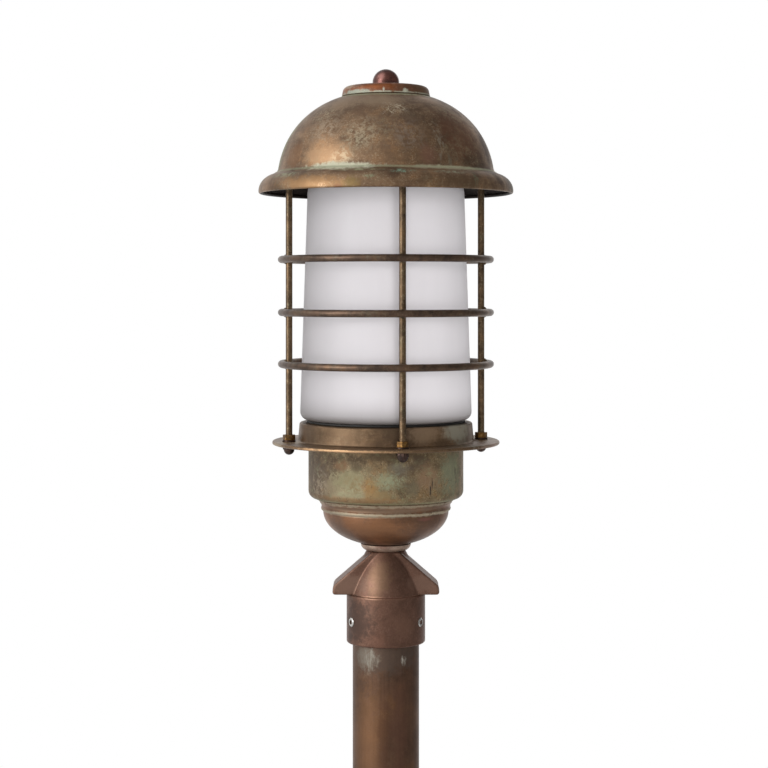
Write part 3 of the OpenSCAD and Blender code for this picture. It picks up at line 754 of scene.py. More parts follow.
    def patch_share(self, patch: Patch) -> bpy.types.Node:
        """How much of each point a patch covers.

        Args:
            patch: the patch.

        Returns:
            A node from zero to its amount.
        """
        add = self.add
        aside = add("Math", MINUS, i0=self.angle, i1=math.radians(patch.turn))
        aside = add("Math", {"operation": "WRAP"}, i0=aside, i1=math.pi / 2, i2=-math.pi / 2)
        along = add("Math", TIMES, i0=aside, i1=self.out)
        across = add("Math", OVER, i0=along, i1=patch.wide * MM)
        rise = add("Math", MINUS, i0=self.up, i1=patch.up * MM)
        upright = add("Math", OVER, i0=rise, i1=patch.tall * MM)
        both = add("CombineXYZ", X=across, Y=upright)
        apart = add("VectorMath", {"operation": "LENGTH"}, i0=both).outputs["Value"]
        tear = add("Math", TIMES, i0=self.ragged, i1=self.PATCH_TORN)
        torn = add("Math", PLUS, i0=apart, i1=tear)
        share = add("MapRange", SOFT_STEP, Value=torn, i4=patch.amount, **self.PATCH_EDGE)
        if patch.wear is Wear.STAIN:
            return share
        return add("Math", TIMES, i0=share, i1=self.form(patch.wear))

    def verdigris_share(self) -> bpy.types.Node:
        """Verdigris in scattered blotches, and in rings where water stays; on beads and rims a
        ring is partly a painted highlight.
        """
        metal, add = self.metal, self.add
        scale = 1 / (metal.blotch * self.GREEN_SHARE * MM)
        spread = add("TexNoise", Vector=self.shifted, Scale=scale, **self.GROWN)
        wide = add("MapRange", SOFT_STEP, Value=spread, **self.GREEN_WIDE)
        close = add("MapRange", SOFT_STEP, Value=self.flecks, **self.GREEN_CLOSE)
        grown = add("Math", TIMES, i0=wide, i1=close)
        green = add("Math", TIMES, i0=grown, i1=metal.green_amount * self.AMPLE)
        torn = add("MapRange", SOFT_STEP, Value=self.flecks, **self.GREEN_RING)
        for band in metal.bands:
            half = band.half * MM
            wave = add("Math", TIMES, i0=self.ragged, i1=half * self.BAND_TORN)
            apart = add("Math", MINUS, i0=self.up, i1=band.up * MM)
            apart = add("Math", SIZE_OF, i0=add("Math", PLUS, i0=apart, i1=wave))
            ring = add(
                "MapRange",
                SOFT_STEP,
                Value=apart,
                i1=half,
                i2=half * self.BAND_FULL,
                i4=band.amount,
            )
            ring = add("Math", TIMES, i0=ring, i1=torn)
            if band.reach > 0:
                beyond = add(
                    "MapRange",
                    SOFT_STEP,
                    Value=self.out,
                    i1=band.reach * MM,
                    i2=(band.reach + self.BAND_START) * MM,
                )
                ring = add("Math", TIMES, i0=ring, i1=beyond)
            green = add("Math", LARGER, i0=green, i1=ring)
        return green

    def scratch_share(self) -> bpy.types.Node:
        """Thin dark scratches in some places."""
        add = self.add
        scale = 1 / (self.metal.blotch * self.SCRATCH_SHARE * MM)
        bent = add("TexNoise", Vector=self.shifted, Scale=scale, **self.BENT)
        line = add("Math", SIZE_OF, i0=add("Math", MINUS, i0=bent, i1=0.5))
        thin = add("MapRange", SOFT_STEP, Value=line, **self.SCRATCH_HALF)
        where = add("MapRange", SOFT_STEP, Value=self.blotches, **self.SCRATCHED)
        cut = add("Math", TIMES, i0=thin, i1=where)
        return add("Math", TIMES, i0=cut, i1=self.metal.scratches)


@dataclass(frozen=True)
class Plain:
    """A surface of one substance with slight clouding and a fine grain.

    Args:
        name: name of the material.
        slot: material slot, which this script does not use.
        light: its lighter colour.
        dark: its darker colour.
        metallic: zero, or one for a bare metal.
        rough: roughness.
        cloud: size of the clouding.
        grain: size of the grain.
        depth: depth of the grain.
        flow: stretch of the clouding along the height, small for upright lines.
        under: share of light that goes in under the surface.
        deep: how far the light goes in.
        foot: height of its foot, from which it is painted darker as shade, or none.
        fades: how far up the painted shade reaches.
        fade_curve: how fast it fades, as a power.
        painted_foot_shade: colour of the painted shade at its foot.
    """

    name: str
    slot: str
    light: str
    dark: str
    metallic: float = 0.0
    rough: float = 0.4
    cloud: float = 12.0
    grain: float = 1.0
    depth: float = 0.03
    flow: float = 1.0
    under: float = 0.0
    deep: float = 4.0
    foot: Optional[float] = None
    fades: float = 10.0
    fade_curve: float = 2.2
    painted_foot_shade: str = "#6E6864"

    # Values of the clouding between which the colour and the roughness change
    COLOUR_STEP = {"i1": 0.35, "i2": 0.65}
    ROUGH_STEP = {"i1": 0.3, "i2": 0.7}
    # The least and the greatest roughness, as shares of the one that is given
    ROUGH_LEAST = 0.85
    ROUGH_MOST = 1.15

    def material(self) -> bpy.types.Material:
        """Builds the material."""
        made = empty_material(self.name)
        add = partial(add_node, made.node_tree)
        place = add("TexCoord").outputs["Object"]
        run = add("Mapping", Vector=place, Scale=(1.0, 1.0, self.flow))
        wide = add("TexNoise", Vector=run, Scale=1 / (self.cloud * MM), Detail=5.0, Roughness=0.6)
        # A moulded, plated or woven skin has a grain of tenths of a millimetre, too fine to
        # show, so it is drawn up to ten times as coarse
        fine = add("TexNoise", Vector=run, Scale=1 / (self.grain * MM), Detail=2.0)
        share = add("MapRange", SOFT_STEP, Value=wide, **self.COLOUR_STEP)
        colour = add("Mix", COLOURS, i0=share, i6=linear(self.dark), i7=linear(self.light))
        # Towards its foot the surface is painted darker with painted_foot_shade, as shade where
        # its seat blocks the light
        if self.foot is not None:
            up = add("SeparateXYZ", Vector=place).outputs[2]
            start, end = self.foot * MM, (self.foot + self.fades) * MM
            foot_shade_share = add("MapRange", Value=up, i1=end, i2=start, i4=1.0)
            foot_shade_share = add("Math", {"operation": "POWER"}, i0=foot_shade_share, i1=self.fade_curve)
            colour = add(
                "Mix", COLOURS, i0=foot_shade_share, i6=colour.outputs[2], i7=linear(self.painted_foot_shade)
            )
        least, most = self.rough * self.ROUGH_LEAST, self.rough * self.ROUGH_MOST
        dull = add("MapRange", Value=wide, i3=least, i4=most, **self.ROUGH_STEP)
        bump = add("Bump", Strength=0.5, Distance=self.depth * MM, Height=fine)
        shader = add(
            "BsdfPrincipled",
            Base_Color=colour.outputs[2],
            Metallic=self.metallic,
            Roughness=dull,
            Normal=bump,
        )
        if self.under > 0:
            shader.inputs["Subsurface Weight"].default_value = self.under
            shader.inputs["Subsurface Scale"].default_value = self.deep * MM
            shader.inputs["Subsurface Radius"].default_value = (1.0, 1.0, 1.0)
        add("OutputMaterial", Surface=shader)
        return made


Finish = Union[AgedMetal, Plain]


@dataclass
class Dresser:
    """Keeps the finished materials and gives them to pieces.

    Args:
        made: the materials that are already built, by name.
        replaced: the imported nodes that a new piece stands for.
    """

    made: dict[str, bpy.types.Material] = field(default_factory=dict)
    replaced: set[str] = field(default_factory=set)

    def material(self, finish: Finish) -> bpy.types.Material:
        """Material of a finish, built at its first use."""
        if finish.name not in self.made:
            self.made[finish.name] = finish.material()
        return self.made[finish.name]

    def publish(self, piece: bpy.types.Object, finish: Finish, *nodes: str) -> None:
        """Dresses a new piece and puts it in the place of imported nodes.

        Args:
            piece: the new piece.
            finish: its finish.
            nodes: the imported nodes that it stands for.
        """
        piece.data.materials.clear()
        piece.data.materials.append(self.material(finish))
        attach(piece, BODY)
        if nodes:
            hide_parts(*nodes)
            self.replaced.update(nodes)
        LOG.info("%s: %d faces, %s", piece.name, len(piece.data.polygons), finish.name)

    def line(self, piece: bpy.types.Object, finish: Finish, heart: float) -> None:
        """Gives the faces of a hollow piece that look at its middle another finish.

        Args:
            piece: the hollow piece.
            finish: finish of its inside.
            heart: height of the middle on the axis.
        """
        piece.data.materials.append(self.material(finish))
        middle = Vector((0, 0, heart * MM))
        for face in piece.data.polygons:
            if face.normal.dot(middle - face.center) > 0:
                face.material_index = 1

    def keep(self, node: bpy.types.Object, finish: Finish) -> None:
        """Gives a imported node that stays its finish.

        Args:
            node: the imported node.
            finish: its finish.
        """
        node.data.materials.clear()
        node.data.materials.append(self.material(finish))
        LOG.info("%s: kept, %s", node.name, finish.name)


# Finishes


class Finishes:
    """Every finish of the lantern.

    Spun, drawn and cast brass and copper, all left outdoors: a brown patina with blotches,
    rubbed spots that shine, dry pale flecks, and verdigris where water stays. Some patches
    and rings are painted highlights and painted shade.
    """

    # Spun brass sheet: soft level marks from the spinning tool under a brown patina, with
    # rain runs, dry grey flecks in front and pale verdigris caught in the crease. A painted
    # highlight lies at the lower left, the brim is partly golden and partly painted lighter as
    # highlight at its left, and it is painted darker as shade at its far right
    DOME = AgedMetal(
        name="spun_brass_dome", slot="spun_brass",
        dark="#5A4534", brown="#7C624A", rubbed="#987350", pale="#B0A085", green="#A6AC8C",
        grain=Grain.SPUN, blotch=34.0, pale_amount=0.17, green_amount=0.06,
        bands=(Band(905.3, 1.5, 0.55), Band(972.4, 1.2, 0.6, 39)),
        patches=(
            Patch(-82, 932, 15, 44, "#94967C", 0.8, dry=0.6),
            Patch(-57, 918, 16, 14, "#86603F", 0.5),
            # Painted highlight at the dome's lower left
            Patch(-33, 916, 32, 12, "#B8926C", 0.5),
            Patch(-23, 914, 15, 8, "#CDB898", 0.6, Wear.FLECKS),
            Patch(-14, 934, 24, 20, "#A99A80", 0.6, Wear.FLECKS),
            Patch(-46, 953, 18, 8, "#B5A78A", 0.7, Wear.SCRIBBLE),
            Patch(-17, 957, 7, 7, "#5E4432", 0.4),
            Patch(-36, 964, 22, 10, "#9A8268", 0.6),
            Patch(-4, 966, 24, 8, "#9A846A", 0.6),
            Patch(6, 957, 16, 7, "#B8A890", 0.9, Wear.SCRIBBLE),
            Patch(16, 948, 14, 9, "#4E4034", 0.5),
            Patch(12, 933, 20, 18, "#8A7B6C", 0.6, Wear.FLECKS),
            Patch(4, 938, 30, 22, "#665042", 0.5, Wear.RUNS),
            Patch(-38, 940, 24, 18, "#A3917A", 0.6, Wear.FLECKS),
            Patch(46, 936, 28, 24, "#603C2A", 0.6),
            Patch(30, 927, 6, 24, "#8C8272", 0.6, Wear.RUNS),
            Patch(34, 911, 11, 7, "#6E6A5A", 0.5, Wear.RUNS),
            Patch(23, 916, 10, 10, "#7A5446", 0.5),
            Patch(-24, 905.8, 40, 4, "#CDCBB2", 0.95, dry=0.8),
            Patch(32, 904.8, 50, 2.6, "#9E957C", 0.8, dry=0.6),
            Patch(-12, 902, 26, 1.4, "#A9AE8A", 0.7, Wear.FLECKS, 0.8),
            Patch(8, 900.8, 14, 2.2, "#7FA08A", 0.8, Wear.FLECKS, 0.8),
            Patch(30, 900.6, 24, 1.8, "#9FA58C", 0.6, Wear.FLECKS, 0.8),
            Patch(-54, 900, 22, 3.4, "#A2A688", 0.7, Wear.FLECKS, 0.7),
            # Brim's left: partly golden patina, partly painted highlight
            Patch(-34, 891, 46, 9, "#A37C50", 0.55),
            Patch(-27, 888, 10, 4.5, "#DCB892", 0.9, Wear.FLECKS),
            Patch(-21, 887, 5, 3, "#7A4A3A", 0.35),
            Patch(-15, 891, 9, 7, "#6F5C2E", 0.6),
            Patch(-8, 896, 9, 3, "#8F9474", 0.7, Wear.FLECKS, 0.6),
            Patch(43, 893, 4, 9, "#5A6650", 0.8, Wear.RUNS, 0.6),
            Patch(30, 891, 40, 9, "#5A4630", 0.5),
            # Painted shade on the brim's far right
            Patch(78, 893, 28, 12, "#453628", 0.75),
        ),
        seed=0.31,
    )
    # The hood's inside, which no hand or rain reaches: spun brass gone nearly black
    DARK_BRASS = AgedMetal(
        name="blackened_brass", slot="spun_brass",
        dark="#1E1714", brown="#2A201B", rubbed="#382A22", pale="#4A4038",
        grain=Grain.SPUN, pale_amount=0.04, green_amount=0.0, metallic=0.5, rough=(0.5, 0.65),
        seed=0.95,
    )
    # Spun copper: warm and reddish, with chalky verdigris that crept up from its foot
    TOP_CAP = AgedMetal(
        name="spun_copper_cap", slot="spun_copper",
        dark="#5C3D2C", brown="#82563F", rubbed="#9A6440", pale="#A88670", green="#B4B8A4",
        grain=Grain.SPUN, blotch=22.0, pale_amount=0.14, green_amount=0.04,
        bands=(Band(974.9, 1.4, 0.6),),
        patches=(
            Patch(-6, 981, 18, 5, "#86481F", 0.65, dry=0),
            Patch(30, 979, 14, 7, "#6A4A35", 0.6),
            Patch(58, 978, 18, 9, "#664E38", 0.8),
            Patch(-62, 981.5, 16, 2.4, "#B09A84", 0.8, dry=0.5),
            Patch(-45, 975.8, 20, 2.6, "#BBBFAE", 0.95, dry=0.9),
            Patch(-10, 975, 12, 1.6, "#B4AE9C", 0.8, dry=0.8),
            Patch(-3, 976.6, 1.3, 3.6, "#BFBFB0", 0.8, dry=0.8),
            Patch(25, 976, 3.6, 2.4, "#A8A896", 0.9, dry=0.8),
        ),
        seed=0.83,
    )
    # Turned copper: purple brown and nearly even, polished by hands, with a painted highlight at
    # its left
    FINIAL = AgedMetal(
        name="turned_copper_finial", slot="spun_copper",
        dark="#4A2F2B", brown="#66423B", rubbed="#84564A", pale="#8B6A5E",
        grain=Grain.SPUN, blotch=16.0, pale_amount=0.06, green_amount=0.0, rough=(0.2, 0.3),
        depth=0.03,
        # A painted highlight at the finial's left
        patches=(Patch(-22, 992, 4, 4, "#A87870", 0.6, dry=0),),
        seed=0.12,
    )
    # Cast and machined brass under an even brown lacquer, with soft broad highlights, partly
    # painted: a painted highlight on the cone and along the sleeve's shoulder, and painted shade
    # on the sleeve's left
    CAST = AgedMetal(
        name="cast_brass_cap", slot="cast_brass",
        dark="#5E4437", brown="#6C4E40", rubbed="#7E5E4E", pale="#927B6C",
        mark=1.3, pale_amount=0.06, green_amount=0.0, rough=(0.4, 0.48), depth=0.05,
        patches=(
            # Painted highlight along the sleeve's shoulder, brightest at the left
            Patch(-22, 526.2, 16, 1.5, "#B58C74", 0.85, dry=0),
            Patch(10, 526.2, 34, 1.3, "#8E6A58", 0.6, dry=0),
            Patch(-30, 512, 12, 8, "#765A4A", 0.4),
            Patch(-12, 488, 10, 10, "#74503F", 0.5),
            # Painted shade on the sleeve's left
            Patch(-50, 504, 26, 28, "#48342A", 0.85),
            Patch(30, 500, 14, 14, "#6E5040", 0.5),
            Patch(-66, 536, 20, 13, "#8A6E5E", 0.5),
            # Painted highlight on the cone
            Patch(-13, 543, 13, 19, "#866A50", 0.45, dry=0),
            Patch(66, 536, 18, 12, "#7C6152", 0.5),
        ),
        seed=0.47,
    )
    # Turned brass ring: fine level tool marks, golden where it was rubbed; a painted highlight
    # along the flange's front rim, and painted shade at its front
    COLLAR = AgedMetal(
        name="turned_brass_collar", slot="cast_brass",
        dark="#5E4A36", brown="#705841", rubbed="#83684A", pale="#A09078", green="#8C9173",
        grain=Grain.SPUN, blotch=34.0, pale_amount=0.08, green_amount=0.03, rough=(0.37, 0.47),
        depth=0.05,
        patches=(
            # Painted shade that dims the sheen at the front left and in the middle
            Patch(-28, 676, 28, 12, "#584531", 0.65, dry=0),
            Patch(8, 676, 24, 12, "#4C3A29", 0.75),
            Patch(54, 676, 22, 14, "#837F70", 0.85, dry=0.7),
            Patch(26, 676, 20, 12, "#8C745C", 0.7, dry=0.4),
            # Painted highlight along the front of the flange's rim
            Patch(-22, 662, 60, 1.6, "#C8A078", 0.8, dry=0),
            Patch(66, 662.2, 30, 2.4, "#A58D80", 0.7, dry=0.2),
            Patch(-72, 662.2, 22, 2.4, "#B5A48C", 0.7, dry=0.2),
        ),
        seed=0.22,
    )
    # Brass sheet with thick dry verdigris: khaki, mottled and almost without shine; the dark band
    # under the flange is partly patina and partly painted shadow
    CANISTER = AgedMetal(
        name="verdigris_brass_canister", slot="verdigris_brass",
        dark="#574631", brown="#7A684C", rubbed="#8C6940", pale="#A39276", green="#8F9470",
        blotch=18.0, mark=1.1, pale_amount=0.26, green_amount=0.2, scratches=0.9, contrast=0.2,
        pitted=0.7, metallic=0.45, rough=(0.44, 0.6), depth=0.18,
        bands=(Band(613.4, 1.6, 0.35),),
        patches=(
            Patch(-60, 636, 28, 26, "#5E4F40", 0.75),
            Patch(-48, 640, 30, 18, "#45362A", 0.6, Wear.FLECKS),
            Patch(-57, 628, 20, 18, "#A3937C", 0.85, Wear.FLECKS, 0.6),
            Patch(-40, 626, 16, 14, "#9A8B6E", 0.6),
            Patch(-27, 634, 22, 15, "#9C9572", 0.75, dry=0.8),
            Patch(-24, 622, 18, 7, "#A09B7A", 0.6, dry=0.8),
            Patch(-22, 630, 20, 12, "#8A7048", 0.6, Wear.FLECKS),
            Patch(-34, 646, 10, 6, "#80593A", 0.6),
            Patch(-21, 648, 9, 8, "#52442F", 0.7),
            Patch(-11, 628, 9, 12, "#94703F", 0.75),
            Patch(2, 634, 17, 9, "#8E9375", 0.75, dry=0.8),
            Patch(4, 632, 18, 12, "#7A6648", 0.6, Wear.FLECKS),
            Patch(-4, 621, 14, 6, "#8C7650", 0.7),
            Patch(10, 645, 11, 8, "#6F6A5C", 0.7),
            # Dark band under the flange: partly dark patina, partly the flange's painted shadow
            Patch(0, 655, 44, 7, "#4E3D28", 0.7),
            Patch(24, 648, 14, 8, "#57483A", 0.6),
            Patch(20, 628, 8, 10, "#67604C", 0.6),
            Patch(32, 636, 15, 13, "#886C52", 0.75),
            Patch(12, 638, 14, 12, "#53443A", 0.5, Wear.FLECKS),
            Patch(33, 629, 12, 9, "#8C7A64", 0.6, Wear.RUNS),
            Patch(56, 638, 20, 26, "#6E7059", 0.85, dry=0.8),
            Patch(-25, 616.5, 58, 3.2, "#86643F", 0.6),
            Patch(35.2, 631, 0.8, 4.6, "#2A2018", 0.95),
            Patch(33.6, 625, 0.8, 4.8, "#2A2018", 0.95),
            Patch(61, 639, 0.9, 5, "#2E281E", 0.95),
            Patch(62.5, 632, 0.9, 6, "#2E281E", 0.95),
            Patch(11, 622, 3.4, 3.4, "#3E2F22", 0.8, Wear.SCRIBBLE),
        ),
        seed=0.58,
    )
    # Spun copper bowl: smooth and coppery below, with pale lines on its beads that are partly
    # verdigris and partly painted highlight
    BOWL = AgedMetal(
        name="spun_copper_bowl", slot="spun_brass",
        dark="#5F4638", brown="#76553F", rubbed="#8C6040", pale="#A08A76", green="#A9A088",
        grain=Grain.SPUN, blotch=38.0, pale_amount=0.06, green_amount=0.02, rough=(0.36, 0.46),
        depth=0.05,
        # Pale rings on the beads: partly verdigris, partly painted highlight
        bands=(Band(602.3, 2.4, 0.75), Band(610.3, 2.2, 0.6)),
        patches=(
            # Pale line on the lower bead's left: partly verdigris, partly painted highlight
            Patch(-26, 602, 40, 2.4, "#C0AC94", 0.7, dry=0.6),
            Patch(0, 606.5, 90, 3, "#84705C", 0.6, dry=0.3),
            Patch(-12, 590, 34, 13, "#946848", 0.65, dry=0),
            Patch(-52, 588, 14, 16, "#6C5546", 0.5),
            Patch(46, 588, 18, 18, "#5C463A", 0.5),
            Patch(38, 598, 10, 2, "#8C5A50", 0.5),
        ),
        seed=0.74,
    )
    # Cast brass disc: grey, with a pale ring at its rim that is partly chalky verdigris and partly
    # painted highlight
    NECK = AgedMetal(
        name="cast_brass_disc", slot="cast_brass",
        dark="#7C665A", brown="#A58D7D", rubbed="#B59A86", pale="#A99B8A", green="#98A08E",
        blotch=14.0, pale_amount=0.2, green_amount=0.06,
        patches=(Patch(-5, 570.5, 8, 4, "#764C3E", 0.5),),
        # Pale ring at the rim: partly verdigris, partly painted highlight
        bands=(Band(573, 1.4, 0.5),),
        seed=0.91,
    )
    # Drawn brass tube: soft upright marks, greyer under the cap and amber lower down
    POLE = AgedMetal(
        name="drawn_brass_tube", slot="tube_brass",
        dark="#523D30", brown="#664B3A", rubbed="#785439", pale="#857666", green="#7F8478",
        grain=Grain.DRAWN, blotch=60.0, mark=2.4, pale_amount=0.03, green_amount=0.0,
        metallic=0.85, rough=(0.42, 0.54), depth=0.05,
        patches=(
            Patch(0, 474, 48, 22, "#5C4F46", 0.6, dry=0.2),
            Patch(-38, 472, 12, 13, "#827C70", 0.55, dry=0.4),
            Patch(-30, 470, 8, 12, "#9A968A", 0.6, Wear.RUNS, 0.4),
            Patch(32, 469, 3.2, 6, "#B4AFA2", 0.9, Wear.RUNS, 0.6),
            Patch(-34, 400, 22, 62, "#7E5A3A", 0.35, dry=0),
            Patch(-2, 396, 8, 52, "#55392B", 0.45, dry=0),
            Patch(24, 410, 10, 60, "#745142", 0.4, dry=0),
        ),
        seed=0.65,
    )
    # Cast brass flange: rougher than the tube, with verdigris in its hollow corner
    FLANGE = AgedMetal(
        name="cast_brass_foot", slot="cast_brass",
        dark="#453328", brown="#5F4939", rubbed="#745A42", pale="#8C8474", green="#7F9078",
        blotch=34.0, pale_amount=0.14,
        bands=(Band(11.4, 2, 0.7, 38),),
        seed=0.39,
    )
    # Drawn brass rod: greenish brown with pale chips along its length
    ROD = AgedMetal(
        name="drawn_brass_rod", slot="cage_brass",
        dark="#4C3C2C", brown="#69543D", rubbed="#806345", pale="#A09379", green="#84896A",
        grain=Grain.DRAWN, blotch=14.0, mark=0.9, pale_amount=0.2, green_amount=0.12,
        rough=(0.3, 0.44), seed=0.17,
    )
    # Drawn brass wire bent into rings: darker, with one soft line of light
    RING = AgedMetal(
        name="drawn_brass_wire", slot="cage_brass",
        dark="#45372D", brown="#5E4A3C", rubbed="#75583F", pale="#94866F", green="#74816C",
        grain=Grain.SPUN, blotch=18.0, mark=0.9, pale_amount=0.1, green_amount=0.08,
        rough=(0.3, 0.44), seed=0.27,
    )
    # Braze metal: duller and slightly paler than the wire that it holds
    BRAZE = AgedMetal(
        name="braze_metal", slot="cage_brass",
        dark="#45382B", brown="#66533F", rubbed="#806647", pale="#A09880",
        blotch=6.0, pale_amount=0.16, seed=0.52,
    )
    # Machined brass: the brightest metal of all, golden on its flats
    NUT = AgedMetal(
        name="machined_brass", slot="fitting_brass",
        dark="#4E381E", brown="#765428", rubbed="#A67A3C", pale="#B8A27A",
        blotch=7.0, mark=0.7, pale_amount=0.1, green_amount=0.04, rough=(0.28, 0.42), seed=0.71,
    )
    # Machined brass gone nearly black
    ACORN = AgedMetal(
        name="dark_brass_acorn", slot="fitting_brass",
        dark="#2E2320", brown="#46352F", rubbed="#63493C", pale="#7D6C60",
        blotch=7.0, mark=0.7, pale_amount=0.06, green_amount=0.02, rough=(0.26, 0.4), seed=0.05,
    )
    # Opal glass: white all through, so light spreads inside it and its edge stays soft; it is
    # painted darker towards its foot as shade
    OPAL = Plain(
        name="opal_glass", slot="opal_glass",
        light="#E6E2E5", dark="#E2DEE1",
        rough=0.55, cloud=60.0, grain=2.4, depth=0.02, flow=0.2, under=0.3, deep=6.0,
        foot=682.0, fades=30.0,
    )
    # Turned stainless steel: bright rings round a dark socket
    STEEL = Plain(
        name="turned_stainless_steel", slot="stainless",
        light="#D6D4D0", dark="#B9B6B0",
        metallic=1.0, rough=0.24, cloud=3.0, grain=0.6,
    )
    # Zinc plated sheet: grey metal with a cloudy bloom
    ZINC = Plain(
        name="zinc_plated_sheet", slot="zinc_steel",
        light="#BDBBB4", dark="#A6A49C",
        metallic=1.0, rough=0.42, cloud=9.0, grain=1.2,
    )
    # Moulded rubber: black and dull
    RUBBER = Plain(
        name="moulded_rubber", slot="seal_rubber",
        light="#242220", dark="#171614",
        rough=0.62, cloud=6.0, grain=0.9,
    )
    # Glazed porcelain: warm white with a wet shine
    PORCELAIN = Plain(
        name="glazed_porcelain", slot="porcelain",
        light="#F1EEE6", dark="#E8E3D8",
        rough=0.12, cloud=14.0, grain=3.0,
    )
    # Frosted lamp glass: white and matt
    LAMP = Plain(
        name="frosted_lamp_glass", slot="lamp_glass",
        light="#F5F3EE", dark="#EDEAE4",
        cloud=20.0, grain=0.8,
    )
    # Moulded nylon: cream with a satin skin
    NYLON = Plain(
        name="moulded_nylon", slot="terminal_plastic",
        light="#E4DDC9", dark="#D8D0BB",
        rough=0.45, cloud=8.0, grain=0.7,
    )
    # Woven glass-fibre sleeve: dark grey and fibrous
    SLEEVE = Plain(
        name="woven_lead_sleeve", slot="lead_sleeve",
        light="#45413B", dark="#332F2B",
        rough=0.7, cloud=2.0, grain=0.6, depth=0.1,
    )


# Sub-assemblies, from the top down


@dataclass
class SubAssembly:
    """A group of pieces that are built and dressed together.

    Args:
        dresser: gives the finishes.
    """

    dresser: Dresser

    def turned(
        self,
        name: str,
        corners: Sequence[Corner],
        finish: Finish,
        nodes: Sequence[str] = (),
        closed: bool = True,
        steps: int = 160,
    ) -> bpy.types.Object:
        """Turns an outline, dresses it and puts it in place.

        Args:
            name: name of the piece.
            corners: its outline.
            finish: its finish.
            nodes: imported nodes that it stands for, or its own name if none are given.
            closed: whether the outline closes, or ends on the axis.
            steps: segments of the full turn.

        Returns:
            The piece.
        """
        mesh = outline(corners, closed)
        turn(mesh, steps)
        piece = finished(mesh, name + "_look")
        even_normals(piece)
        self.dresser.publish(piece, finish, *(nodes or (name,)))
        return piece


